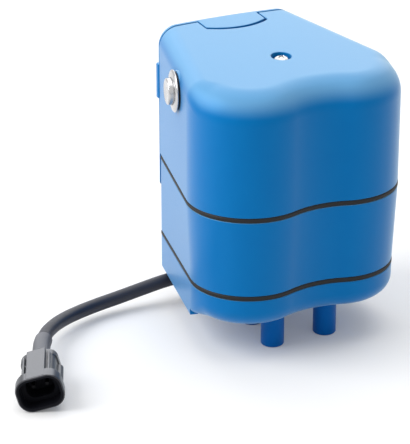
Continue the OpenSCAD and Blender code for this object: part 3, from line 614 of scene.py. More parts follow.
def edge_radius(station, front, side):
    """Edge rounding, blended round the lobes from the front's to the side's."""
    kind, _, value = station
    if kind == "saddle":
        return front
    if kind == "lobe":
        return front + (side - front) * smooth_step((value - BLEND_FROM_A) / (SIDE_A - BLEND_FROM_A))
    return side


def arc_of_tongue(grow, steps=18):
    """Front edge of the tongue, left to right."""
    half = TONGUE_W / 2 + grow
    front = REAR_Y - TONGUE_LEN - grow
    r = TONGUE_R + grow
    return [(x, front + r - math.sqrt(r * r - x * x)) for x in spaced(-half, half, steps)]


def circle(cx, cy, r, steps=56):
    return [(cx + u, cy + v) for u, v in (polar(r, 360 * k / steps) for k in range(steps))]


COVER_BOTTOM = box_mm("top_cover")[0][2]
TONGUE_FLOOR = top_z(0, REAR_Y - TONGUE_LEN) - TONGUE_T - TONGUE_CLEAR
TONGUE_UNDER = TONGUE_FLOOR + TONGUE_CLEAR
FILTER_LOW, FILTER_HIGH = box_mm("air_filter")
FIT_GAP = 0.05
COVER_FOOT_H = 4.0
TOP_GRID = 3.5
UNDER_GRID = 4.0
PLATE_GRID = 5.0
REAR_GRID = 6.0


def side_profile(y, fillet_steps, inset=0.0):
    """Right side of the cover's section at y, from the wall to the top: x and z at each step."""
    rim_z = top_z(side_x(y, SIDE_FILLET), y)
    found = []
    for a in spaced(0, 90, fillet_steps):
        c, s = polar(1, a)
        x = side_x(y, SIDE_FILLET * (1 - c) + inset * c)
        found.append((x, rim_z - SIDE_FILLET * (1 - s) - inset * s))
    return found


def top_cover():
    shell = Shell()
    radii = [edge_radius(s, FRONT_FILLET, SIDE_FILLET) for s in FRONT_RUN]
    rim = [plan_point(s, r, cut_end) for s, r in zip(FRONT_RUN, radii)]
    outline = [plan_point(s, 0, cut_end) for s in FRONT_RUN]
    rows = [[(x, y, z) for x, y in outline] for z in (COVER_BOTTOM, COVER_BOTTOM + COVER_FOOT_H)]
    for share, drop in quarter_round(1, 14):
        row = []
        for s, r, edge in zip(FRONT_RUN, radii, rim):
            x, y = plan_point(s, r * share, cut_end)
            row.append((x, y, top_z(*edge) - r * drop))
        rows.append(row)
    shell.rows(rows)

    notch = arc_of_tongue(TONGUE_GAP)
    hw = -notch[0][0]
    sides = spaced(COVER_REAR, notch[0][1], 4)[:-1]
    notch = [(-hw, y) for y in sides] + notch + [(hw, y) for y in reversed(sides)]
    rim_x = rim[0][0]
    left_edge = [(x, COVER_REAR) for x in spaced(-rim_x, -hw, 6)[1:-1]]
    right_edge = [(-x, y) for x, y in reversed(left_edge)]
    hole = circle(0, SCREW_Y, COUNTERBORE_R)
    top = [tuple(p) for p in rim] + left_edge + notch + right_edge
    shell.flat([top, hole], on_top, TOP_GRID)
    shell.recess(notch, [on_top(x, y) for x, y in notch], TONGUE_FLOOR, UNDER_GRID, closed=False)
    shell.recess(hole, [on_top(x, y) for x, y in hole], COUNTERBORE_Z)

    profile = [(row[0][0], row[0][2]) for row in rows]
    right_top = [(x, top_z(x, y)) for x, y in reversed(right_edge)]
    half = profile + right_top + [(hw, top_z(hw, COVER_REAR)), (hw, TONGUE_FLOOR)]
    rear = half + [(-x, z) for x, z in reversed(half)]
    x0, x1 = FILTER_LOW[0] - FIT_GAP, FILTER_HIGH[0] + FIT_GAP
    z0, z1 = FILTER_LOW[2] - FIT_GAP, FILTER_HIGH[2] + FIT_GAP
    back = FILTER_LOW[1] - DOOR_GAP
    pocket = [(x0, z0), (x1, z0), (x1, z1), (x0, z1)]
    shell.flat([rear, pocket], lambda x, z: (x, cover_rear_y(z), z), REAR_GRID)
    pocket_floor = [(x, back, z) for x, z in pocket]
    shell.rows([[(x, cover_rear_y(z), z) for x, z in pocket], pocket_floor], closed=True)
    shell.add(pocket_floor, [[0, 1, 2, 3]])
    shell.flat([outline], COVER_BOTTOM)
    piece("cover_shell", shell, "housing_plastic", ("top_cover",), round_mm=EDGE_ROUND)


# Filter door: a plate with a rounded rear edge, a tongue, air slots, barrels and grips
DOOR_IN = REAR_Y + DOOR_GAP
DOOR_OUT = REAR_Y + DOOR_T
PIN_R = 1.0
HINGE_Z = box_mm("hinge_pin")[0][2] + PIN_R
HINGE_Y = box_mm("hinge_pin")[0][1] + PIN_R
BARREL_R = HINGE_Y - DOOR_IN
LUG_X = 20.0
LUG_W = 5.0
BARREL_END = 3.0
GRIP_L = 6.0
GRIP_OUT = 0.3
GRIP_H = 17.0
GRIP_Z = HOUSING_H - 22.5
GRIP_SET = 0.6
GRIP_EASE = 0.8
BAR_EASE = 0.3


def door_outline(y, inset):
    """Section of the door at y, from the right foot over the top to the left foot."""
    side = side_profile(y, 12, inset)
    foot = [(side[0][0], HINGE_Z)]
    rim_x = side[-1][0]
    half = TONGUE_W / 2
    xs = spaced(rim_x, half, 5)[1:] + spaced(half, 0, 8)[1:]
    right = foot + side + [(x, top_z(x, y) - inset) for x in xs]
    return right + [(-x, z) for x, z in reversed(right[:-1])]


def slots():
    mid = (FILTER_LOW[2] + FILTER_HIGH[2]) / 2
    found = []
    for k in range(SLOT_COUNT):
        z = mid + (k - (SLOT_COUNT - 1) / 2) * SLOT_PITCH
        ends = [polar(SLOT_H / 2, a) for a in spaced(-90, 90, 8)]
        right = [(SLOT_W / 2 - SLOT_H / 2 + u, z + v) for u, v in ends]
        found.append(right + [(-x, 2 * z - v) for x, v in right])
    return found


def bar(shell, x0, x1, y, z, r):
    """A round bar along X with eased ends."""
    shell.turned(
        [(r - BAR_EASE, x0), (r, x0 + BAR_EASE), (r, x1 - BAR_EASE), (r - BAR_EASE, x1)],
        lambda u, v, h: (h, y + u, z + v),
        32,
    )


def eased_cube(low, high, ease, segments):
    """A bmesh block between two corners, with its edges rounded by ease."""
    middle = (np.array(low) + np.array(high)) / 2
    half = (np.array(high) - np.array(low)) / 2
    work = bmesh.new()
    bmesh.ops.create_cube(work, size=2)
    for v in work.verts:
        v.co = Vector(middle + np.array(v.co) * half)
    bmesh.ops.bevel(work, geom=work.edges[:], offset=ease, segments=segments, profile=0.5, affect="EDGES")
    return work


def block(shell, low, high, ease):
    shell.take(eased_cube(low, high, ease, 4))


def filter_door():
    shell = Shell()
    steps = [(DOOR_IN, 0.0), *((DOOR_OUT - back, inset) for inset, back in quarter_round(REAR_FILLET, 7))]
    outlines = [door_outline(y, inset) for y, inset in steps]
    shell.rows([[(x, y, z) for x, z in o] for o, (y, _) in zip(outlines, steps)])

    lug = [LUG_X - LUG_W / 2 - DOOR_GAP, LUG_X + LUG_W / 2 + DOOR_GAP]
    lug_top = HINGE_Z + BARREL_R + DOOR_GAP
    notches = [(-lug[1], HINGE_Z), (-lug[1], lug_top), (-lug[0], lug_top), (-lug[0], HINGE_Z)]
    foot = notches + [(-x, z) for x, z in reversed(notches)]
    openings = slots()
    shell.flat([outlines[-1] + foot, *openings], lambda x, z: (x, DOOR_OUT, z), PLATE_GRID)
    half = TONGUE_W / 2
    inner = [p for p in outlines[0] if abs(p[0]) >= half - 1e-6]
    middle = len(inner) // 2
    inner = inner[:middle] + [(half, TONGUE_UNDER), (-half, TONGUE_UNDER)] + inner[middle:]
    shell.flat([inner + foot, *openings], lambda x, z: (x, DOOR_IN, z), PLATE_GRID)
    for opening in openings:
        shell.rows([[(x, y, z) for x, z in opening] for y in (DOOR_IN, DOOR_OUT)], closed=True)
    ends = [o[-1] for o in outlines]
    edge = [(x, y) for (x, _), (y, _) in zip(ends, steps)]
    shell.rows([[(x, y, z) for x, z in foot] for y in (DOOR_IN, DOOR_OUT)])
    for side in (1, -1):
        rim = [(side * x, y) for x, y in edge]
        stop = -side * lug[1]
        shell.flat([[*rim, (stop, DOOR_OUT), (stop, DOOR_IN)]], HINGE_Z)

    arc = [(x, y + FINGER_GAP) for x, y in arc_of_tongue(0)]
    rear = [(x, DOOR_IN) for x in spaced(half, -half, 16)]
    tongue = rear + arc
    shell.flat([tongue], on_top, TOP_GRID)
    edge = [rear[-1], *arc, rear[0]]
    shell.rows([[on_top(x, y) for x, y in edge], [(x, y, TONGUE_UNDER) for x, y in edge]])
    shell.flat([[rear[0], rear[-1], *arc]], TONGUE_UNDER, UNDER_GRID)
    nodes = ("filter_door",)
    piece("filter_door_plate", shell, "housing_plastic", nodes, "filter_door", round_mm=EDGE_ROUND)

    fittings = Shell()
    inner_end = lug[0]
    outer_end = REAR_W / 2 - BARREL_END
    for x0, x1 in ((-inner_end, inner_end), (lug[1], outer_end), (-outer_end, -lug[1])):
        bar(fittings, x0, x1, HINGE_Y, HINGE_Z, BARREL_R)
    reach = side_x(DOOR_IN) + GRIP_OUT
    for side in (1, -1):
        xs = sorted((side * reach, side * (reach - GRIP_L)))
        low = (xs[0], DOOR_IN, GRIP_Z - GRIP_H / 2)
        high = (xs[1], DOOR_OUT - GRIP_SET, GRIP_Z + GRIP_H / 2)
        block(fittings, low, high, GRIP_EASE)
    piece("door_barrels_and_grips", fittings, "housing_plastic", body="filter_door")


# Geometry trees: what they share
def geometry_tree(name, inputs):
    """A new tree that takes a geometry, the given inputs and a material; returns it and its inputs."""
    tree = bpy.data.node_groups.new(name, "GeometryNodeTree")
    face = tree.interface
    for socket, kind in (("Geometry", "Geometry"), *inputs, ("Material", "Material")):
        face.new_socket(socket, in_out="INPUT", socket_type="NodeSocket" + kind)
    face.new_socket("Geometry", in_out="OUTPUT", socket_type="NodeSocketGeometry")
    return tree, add(tree, "NodeGroupInput").outputs


def end_tree(tree, geometry, material):
    """Ends a tree with its instances made real and all of it in one material."""
    whole = add(tree, "GeometryNodeRealizeInstances", {"Geometry": geometry})
    painted = add(tree, "GeometryNodeSetMaterial", {"Geometry": whole, "Material": material})
    add(tree, "NodeGroupOutput", {"Geometry": painted})
    return tree


def run_tree(obj, tree, values):
    """Runs a tree on an object, its inputs set by their sockets' identifiers, and keeps the mesh."""
    modifier = obj.modifiers.new(tree.name, "NODES")
    modifier.node_group = tree
    for item in tree.interface.items_tree:
        if item.item_type == "SOCKET" and item.in_out == "INPUT" and item.name in values:
            modifier[item.identifier] = values[item.name]
    return as_mesh(obj)


# Tier band: a geometry tree that sweeps a rounded upright section round the plan
BAND_EDGE_STEPS = 6


def tier_band_tree():
    sizes = ("Foot height", "Height", "Thickness", "Proud", "Edge radius")
    tree, given = geometry_tree("tier band", [(name, "Float") for name in sizes])
    plan = add(tree, "GeometryNodeMeshToCurve", {"Mesh": given["Geometry"]})
    width = calculate(tree, "ADD", given["Thickness"], given["Proud"])
    sides = {"Width": width, "Height": given["Height"]}
    section = add(tree, "GeometryNodeCurvePrimitiveQuadrilateral", sides)
    eased = add(tree, "GeometryNodeFilletCurve", {
        "Curve": section, "Radius": given["Edge radius"], "Count": BAND_EDGE_STEPS, "Limit Radius": True,
    }, mode="POLY")
    # The section's middle goes inwards by half its width, less what stands proud
    inwards = calculate(tree, "ADD", calculate(tree, "MULTIPLY", width, -0.5), given["Proud"])
    shift = add(tree, "ShaderNodeCombineXYZ", {"X": inwards})
    placed = add(tree, "GeometryNodeSetPosition", {"Geometry": eased, "Offset": shift})
    wall = add(tree, "GeometryNodeCurveToMesh", {"Curve": plan, "Profile Curve": placed})
    # Each point moves by its station's draw-in, by how near it is to the foot
    place = add(tree, "GeometryNodeInputPosition")
    parts = add(tree, "ShaderNodeSeparateXYZ", {0: place})
    nearness = add(tree, "ShaderNodeMapRange", {
        "Value": parts.outputs["Z"], "From Min": calculate(tree, "ADD", given["Foot height"], given["Height"]),
        "From Max": given["Foot height"], "To Min": 0.0, "To Max": 1.0,
    })
    draw = add(tree, "GeometryNodeInputNamedAttribute", {"Name": "draw_in"}, data_type="FLOAT_VECTOR")
    moved = add(tree, "ShaderNodeVectorMath", {0: draw, "Scale": nearness}, operation="SCALE")
    drawn = add(tree, "GeometryNodeSetPosition", {"Geometry": wall, "Offset": moved})
    return end_tree(tree, drawn, given["Material"])


TIER_BAND = tier_band_tree()


def plan_line(name, z, foot, drawn):
    """The plan as a closed line of edges, each point with its draw-in at the foot."""
    run = list(reversed(FULL_PLAN))
    points = [plan_point(s, foot_inset(s) if foot else 0.0, round_end) for s in run]
    n = len(points)
    mesh = bpy.data.meshes.new(name)
    mesh.from_pydata([(x * MM, y * MM, z * MM) for x, y in points], [(i, (i + 1) % n) for i in range(n)], [])
    draw_in = mesh.attributes.new("draw_in", "FLOAT_VECTOR", "POINT")
    for item, s, p in zip(draw_in.data, run, points):
        x, y = plan_point(s, foot_inset(s), round_end) - p if drawn else (0, 0)
        item.vector = (x * MM, y * MM, 0)
    return new_object(name, mesh)


def tier_band(name, low_z, high_z, thickness, proud, edge, slot, replaces, foot=False, drawn=False):
    """A band of the housing; a drawn one is the middle body, with its decks and hinge lugs."""
    obj = plan_line(name, (low_z + high_z) / 2, foot, drawn)
    run_tree(obj, TIER_BAND, {
        "Foot height": low_z * MM, "Height": (high_z - low_z) * MM, "Thickness": thickness * MM,
        "Proud": proud * MM, "Edge radius": edge * MM, "Material": FINISHES[slot],
    })
    if drawn:
        decks = Shell()
        for z, foot_share in ((low_z + edge, 1), (high_z - edge, 0)):
            insets = [foot_share * foot_inset(s) + thickness / 2 for s in FULL_PLAN]
            loop = [tuple(plan_point(s, inset, round_end)) for s, inset in zip(FULL_PLAN, insets)]
            decks.flat([loop], z)
        for side in (1, -1):
            hinge_lug(decks, side)
        work = bmesh.new()
        work.from_mesh(obj.data)
        work.from_mesh(decks.mesh("decks"))
        work.to_mesh(obj.data)
        work.free()
    finish_mesh(obj)
    settle(obj, slot, replaces)


GASKET_T = 2.2
MIDDLE_H = 35.5
MIDDLE_HIGH = COVER_BOTTOM - GASKET_T
MIDDLE_LOW = MIDDLE_HIGH - MIDDLE_H
TIER_WALL = 6.0
BEAD_W = 3.8
BEAD_PROUD = 0.15
BEAD_EDGE = 0.8
LUG_ROOT = 1.0


def hinge_lug(shell, side):
    """A lug on the middle body, with a round end about the hinge pin."""
    x0, x1 = side * LUG_X - LUG_W / 2, side * LUG_X + LUG_W / 2
    ends = [(HINGE_Y + u, HINGE_Z + v) for u, v in (polar(BARREL_R, a) for a in spaced(-90, 90, 14))]
    root = REAR_Y - LUG_ROOT
    outline = [(root, HINGE_Z - BARREL_R), *ends, (root, HINGE_Z + BARREL_R)]
    shell.rows([[(x, y, z) for y, z in outline] for x in (x0, x1)], closed=True)
    for x in (x0, x1):
        shell.flat([outline], lambda y, z, x=x: (x, y, z))


# Base: rounded below the front, with skirts along its sides
BASE_LOW, BASE_HIGH = box_mm("base")
PORT_ROOT = 5.0
UNDERSIDE = box_mm("pulse_nipple_left")[1][2] - PORT_ROOT
SKIRT_Z = BASE_LOW[2]
BASE_TOP = BASE_HIGH[2]
SKIRT_EASE = 0.8
FRONT_SCREW = np.array([LOBE_X, LOBE_Y]) + polar(14.5, -19)
REAR_SCREW = (REAR_W / 2 - 7.35, REAR_Y - 13.25)
SCREW_PLACES = [(side * x, y) for x, y in (FRONT_SCREW, REAR_SCREW) for side in (-1, 1)]


def base():
    shell = Shell()
    radii = [edge_radius(s, BASE_FILLET, BASE_SIDE_FILLET) for s in FULL_PLAN]
    edge = EDGE_ROUND
    rows = []
    for share, lift in reversed(quarter_round(1, 9)):
        row = []
        for s, r in zip(FULL_PLAN, radii):
            x, y = plan_point(s, foot_inset(s) + r * share, round_end)
            row.append((x, y, UNDERSIDE + r * lift))
        rows.append(row)
    for inset, z in ((0, BASE_TOP - edge), (0.3 * edge, BASE_TOP - 0.3 * edge), (edge, BASE_TOP)):
        rows.append([(*plan_point(s, foot_inset(s) + inset, round_end), z) for s in FULL_PLAN])
    shell.rows(rows, closed=True)
    holes = [circle(x, y, SCREW_HOLE_R, 32) for x, y in SCREW_PLACES]
    shell.flat([[(x, y) for x, y, _ in rows[0]], *holes], UNDERSIDE, PLATE_GRID)
    for hole in holes:
        shell.recess(hole, [(x, y, UNDERSIDE) for x, y in hole], UNDERSIDE + SCREW_SEAT)
    shell.flat([[(x, y) for x, y, _ in rows[-1]]], BASE_TOP)
    for side in (1, -1):
        skirt(shell, side)
    piece("base_shell", shell, "housing_plastic", ("base",), sharp=38)


def skirt(shell, side):
    """A low wall under the side of the base, flush with it, with rounded lower edges."""
    top = UNDERSIDE + BASE_SIDE_FILLET
    levels = [(top, 0.0), *((SKIRT_Z + lift, inset) for inset, lift in quarter_round(SKIRT_EASE, 5))]
    start = lobe_point(SIDE_A, FOOT_TAPER)
    end = corner_point(SIDE_A, 0)
    along = (end - start) / np.linalg.norm(end - start)
    inwards = np.array([-along[1], along[0]])
    rings = []
    for z, inset in levels:
        near, far = start + along * inset, end - along * inset
        outer, inner = inwards * inset, inwards * (SKIRT_T - inset)
        corners = [near + outer, far + outer, far + inner, near + inner]
        rings.append([(side * x, y, z) for x, y in corners])
    shell.rows(rings, closed=True)
    shell.caps(rings)


# Ports: turned tubes with a rounded mouth
PULSE_BORE_R = 3.2
AIR_BORE_R = 2.4
VACUUM_BORE_R = 5.5
PORT_LIP = 0.9
BORE_EASE = 0.4


def port(name, node, bore):
    low, high = box_mm(node)
    cx, cy = (low[:2] + high[:2]) / 2
    r = (high[0] - low[0]) / 2
    profile = [
        (r, UNDERSIDE + 1), *((r - inset, lift) for inset, lift in quarter_round(PORT_LIP, 6)),
        (bore + BORE_EASE, 0.0), (bore, BORE_EASE), (bore, UNDERSIDE),
    ]
    shell = Shell()
    shell.turned(profile, lambda x, y, h: (cx + x, cy + y, h), 56)
    piece(name, shell, "port_plastic", (node,))


# Screws: pan heads with a cross recess, spread by a geometry tree
COVER_HEAD = (3.7, 3.1, 4.2)
BASE_HEAD = (3.4, 2.6, 4.0)
COVER_HEAD_TURN = 20
HEAD_RIM = 0.35
HEAD_EASE = 0.15
RECESS_DEPTH = 1.3
RECESS_OVER = 0.2
RECESS_FOOT = 0.45
RECESS_FOOT_W = 0.55
RECESS_TOP_W = 1.15
ARM_OFFSET = 0.003
HEAD_MERGE_MM = 0.002


def pan_head(name, r, t, recess_l):
    """A domed head on the plane z = 0, with a tapered cross recess, as a loose mesh object."""
    shell = Shell()
    turns = [polar(1, a) for a in spaced(4, 90, 12)]
    dome = [(r * s, t * (HEAD_RIM + (1 - HEAD_RIM) * c)) for c, s in turns]
    profile = [(0.01, dome[0][1]), *dome, (r, HEAD_EASE), (r - HEAD_EASE, 0.0)]
    shell.turned(profile, lambda x, y, h: (x, y, h), 48)
    levels = (
        (t - RECESS_DEPTH, recess_l * RECESS_FOOT, RECESS_FOOT_W),
        (t + RECESS_OVER, recess_l, RECESS_TOP_W),
    )
    arms = Shell()
    for k in (0, 1):
        c, s = polar(1, 90 * k)
        rings = []
        for z, length, width in levels:
            corners = [(u * length / 2, v * width / 2) for u, v in ((-1, -1), (1, -1), (1, 1), (-1, 1))]
            rings.append([(x * c - y * s, x * s + y * c, z + ARM_OFFSET * k) for x, y in corners])
        arms.rows(rings, closed=True)
        arms.caps(rings)
    made = []
    for part_name, part in ((name, shell), (name + "_recess", arms)):
        mesh = part.mesh(part_name)
        clean(mesh, HEAD_MERGE_MM)
        made.append(new_object(part_name, mesh))
    head, cutter = made
    cut = head.modifiers.new("cross recess", "BOOLEAN")
    cut.object = cutter
    cut.operation = "DIFFERENCE"
    cut.solver = "EXACT"
    cut.use_self = True
    as_mesh(head)
    bpy.data.objects.remove(cutter)
    return head


def spread_tree():
    """Puts a copy of a shape on each point of a mesh."""
    tree, given = geometry_tree("spread on points", (("Shape", "Object"), ("Turn", "Vector")))
    shape = add(tree, "GeometryNodeObjectInfo", {"Object": given["Shape"]})
    turn = add(tree, "FunctionNodeEulerToRotation", {"Euler": given["Turn"]})
    copies = add(tree, "GeometryNodeInstanceOnPoints", {
        "Points": given["Geometry"], "Instance": shape.outputs["Geometry"], "Rotation": turn,
    })
    return end_tree(tree, copies, given["Material"])


SPREAD = spread_tree()


def spread_heads(name, size, points, turn, replaces):
    """Screw heads of one size on some points."""
    head = pan_head(name + "_shape", *size)
    places = Shell()
    places.add(points, [])
    obj = new_object(name, places.mesh(name))
    run_tree(obj, SPREAD, {"Shape": head, "Turn": turn, "Material": screw_steel})
    bpy.data.objects.remove(head)
    finish_mesh(obj, sharp=30)
    settle(obj, "bright_steel", replaces, material=screw_steel)


def screws():
    cover_turn = (0, 0, math.radians(COVER_HEAD_TURN))
    spread_heads("cover_screw_head", COVER_HEAD, [(0, SCREW_Y, COUNTERBORE_Z)], cover_turn, ("cover_screw",))
    points = [(x, y, UNDERSIDE + SCREW_SEAT) for x, y in SCREW_PLACES]
    spread_heads("base_screw_heads", BASE_HEAD, points, (math.pi, 0, 0), ("base_screws",))


# Push button on the left side, along its own axis outwards
BUTTON_Y = 6.5
BUTTON_Z = HOUSING_H - 13.5
BEZEL_R = 9.5
CAP_R = 6.0
SEAL_T = 0.8
BEZEL_T = 1.6
CAP_OUT = 2.3
PAD_DEPTH = 5.0
BEZEL_BARREL_R = CAP_R + 1.0
BEZEL_BARREL_DEPTH = 6.0
CAP_DEPTH = 3.0
CAP_SLACK = 0.08
OUTWARDS = polar(1, 180 - SIDE_A)


def on_button(u, v, h):
    """A point at height h along the button's axis, u and v across it."""
    x = -side_x(BUTTON_Y) + OUTWARDS[0] * h - OUTWARDS[1] * u
    y = BUTTON_Y + OUTWARDS[1] * h + OUTWARDS[0] * u
    return (x, y, BUTTON_Z + v)


def button():
    """Each profile gives radius and height from the housing's side: pad, seal, bezel, cap."""
    pad = Shell()
    r = BEZEL_R - 0.4
    bore_r = BEZEL_BARREL_R + 0.1
    pad.turned(
        [(bore_r, -PAD_DEPTH), (r, -PAD_DEPTH), (r, -0.4), (r - 0.1, -0.15), (r - 0.4, 0), (bore_r, 0)],
        on_button, 72, closed=True,
    )
    piece("button_pad", pad, "housing_plastic")
    seal = Shell()
    inner, outer = CAP_R + 1.2, BEZEL_R - 1.0
    seal.turned(
        [
            (inner, 0), (outer - 0.3, 0), (outer, 0.3 * SEAL_T), (outer, 0.7 * SEAL_T),
            (outer - 0.3, SEAL_T), (inner, SEAL_T),
        ],
        on_button, 72, closed=True,
    )
    piece("button_seal_ring", seal, "gasket_rubber", ("button_seal",))
    face = SEAL_T + BEZEL_T
    bezel = Shell()
    bezel.turned(
        [
            (BEZEL_R - 0.5, SEAL_T), (BEZEL_R, SEAL_T + 0.3), (BEZEL_R, SEAL_T + 0.6),
            (BEZEL_R - 0.25, SEAL_T + 0.95), (BEZEL_R - 0.7, SEAL_T + 1.2), (CAP_R + 1.1, face),
            (CAP_R + 0.5, face), (CAP_R + 0.14, face - 0.3), (CAP_R + CAP_SLACK, face - 0.8),
            (CAP_R + CAP_SLACK, -BEZEL_BARREL_DEPTH), (BEZEL_BARREL_R, -BEZEL_BARREL_DEPTH),
            (BEZEL_BARREL_R, SEAL_T),
        ],
        on_button, 96, closed=True,
    )
    piece("button_bezel_ring", bezel, "bright_steel", ("button_bezel",), sharp=28)
    cap = Shell()
    out = face + CAP_OUT
    cap.turned(
        [
            (CAP_R, -CAP_DEPTH), (CAP_R, out - 0.7), (CAP_R - 0.2, out - 0.25), (CAP_R - 0.7, out),
            (CAP_R - 1.2, out - 0.05), (CAP_R - 2.5, out - 0.22), (0.01, out - 0.35),
        ],
        on_button, 96,
    )
    piece("button_cap_turned", cap, "bright_steel", ("button_cap",), "push_button", sharp=50)


# Gland under the base, and its nut: a hexagon that runs into a ribbed cone
GLAND_Z = 11.5
GLAND_EASE = 1.0
HEX_H = 2.4
HEX_EASE = 0.4
HEX_FIT = 0.985
CONE_SHARE = 0.93
NUT_LEVELS = ((0.0, 1.0), (HEX_H, 1.0), (HEX_H + HEX_EASE, 0.93), (7.2, 0.86), (7.8, 0.80), (7.8, 0.72))
NUT_SEGMENTS = 72
NUT_RIBS = 18
RIB_SHARE = 0.02


def gland():
    low, high = box_mm("cable_gland")
    body = Shell()
    block(body, low, high, GLAND_EASE)
    piece("gland_body", body, "plug_plastic", ("cable_gland",))
    low, high = box_mm("gland_nut")
    r = (high[1] - low[1]) / 2 / math.cos(math.radians(30)) * HEX_FIT
    nut = Shell()
    rings = []
    for h, scale in NUT_LEVELS:
        cone = min(max((h - HEX_H) / HEX_EASE, 0), 1)
        ring = []
        for k in range(NUT_SEGMENTS):
            a = 360 * k / NUT_SEGMENTS
            flat = math.cos(math.radians(30)) / math.cos(math.radians((a + 30) % 60 - 30))
            rib = 1.0 + RIB_SHARE * math.cos(math.radians(a * NUT_RIBS))
            u, v = polar(r * scale * ((1 - cone) * flat + cone * CONE_SHARE * rib), a)
            ring.append((high[0] - h, GLAND_Y + u, GLAND_Z + v))
        rings.append(ring)
    nut.rows(rings, closed=True)
    nut.caps(rings)
    piece("gland_nut_ribbed", nut, "plug_plastic", ("gland_nut",), sharp=30)


# Plug: two-way sealed connector on the end of the lead
PLUG_AT = Vector((-133.3, GLAND_Y - 75.1, 9.05))
PLUG_TURN = -24.2
PLUG_ROLL = -15.0
PLUG_W = 20.5
PLUG_H = 16.0
PLUG_WALL = 1.7
COLLAR_LEN = 8.0
BODY_W = 15.4
BODY_H = 12.4
BODY_TOP = -BODY_H / 2
PLUG_END = 29.0
MOUTH_DEPTH = 14.0
SEAL_LAP = 1.2
PANEL_HALF_W = 4.2
PANEL_PROUD = 0.1
RIDGE_X = (5.2, 6.1)
RAIL_R = 1.8
RAIL_Y = 1.2
SLEEVE_WALL = 0.75
BOOT_R = 5.2
BOOT_LEN = 7.0
BOOT_RIBS = 3
RIB_PITCH = 1.7
RIB_TAPER = 0.12
PLUG_PLACE = (
    Matrix.Translation(PLUG_AT)
    @ Matrix.Rotation(math.radians(PLUG_TURN), 4, "Z")
    @ Matrix.Rotation(math.radians(PLUG_ROLL), 4, "Y")
    @ Matrix.Rotation(math.radians(-90), 4, "X")
)


def on_plug(x, y, h):
    """A point of the plug: x across, y down, h from the mouth towards the cable."""
    return tuple(PLUG_PLACE @ Vector((x, y, h)))


def rounded_box(w, h, r, steps=10):
    """Outline of a box with rounded corners, anticlockwise."""
    r = min(r, w / 2 - 1e-3, h / 2 - 1e-3)
    found = []
    for k, (sx, sy) in enumerate(((1, 1), (-1, 1), (-1, -1), (1, -1))):
        for a in spaced(90 * k, 90 * k + 90, steps):
            u, v = polar(r, a)
            found.append((sx * (w / 2 - r) + u, sy * (h / 2 - r) + v))
    return found


def plug_rows(shell, levels, ends):
    """Skins rounded boxes along the plug: each level is height, width, depth and corner radius."""
    rings = [[on_plug(x, y, h) for x, y in rounded_box(w, d, r)] for h, w, d, r in levels]
    shell.rows(rings, closed=True)
    shell.caps(rings, ends)


def on_plug_block(shell, low, high, ease):
    part = Shell()
    block(part, low, high, ease)
    shell.add([on_plug(*p) for p in part.points], part.faces)


def plug_mouth():
    """Black lining of the mouth, from its floor out over the rim: painted shade for the deep mouth."""
    w, d = PLUG_W - 2 * PLUG_WALL, PLUG_H - 2 * PLUG_WALL
    deep_w, deep_d = BODY_W - 2 * PLUG_WALL, BODY_H - 2 * PLUG_WALL
    rim_w, rim_d = PLUG_W - 1.2, PLUG_H - 1.2
    step = COLLAR_LEN - PLUG_WALL
    shell = Shell()
    plug_rows(shell, [
        (MOUTH_DEPTH, deep_w, deep_d, 3.4), (step + 0.2, deep_w, deep_d, 3.4),
        (step, deep_w + 0.4, deep_d + 0.4, 3.6), (step, w - 0.4, d - 0.2, 4.4),
        (step - 0.2, w, d, 4.6), (0.5, w, d, 4.6), (0.12, w + 0.3, d + 0.3, 4.8), (0.0, w + 0.7, d + 0.7, 5.0),
        (0.0, rim_w, rim_d, 5.6), (SEAL_LAP, rim_w, rim_d, 5.6),
    ], (True, False))
    piece("plug_mouth_seal", shell, "boot_rubber", material=mouth_painted_shade, sharp=34)


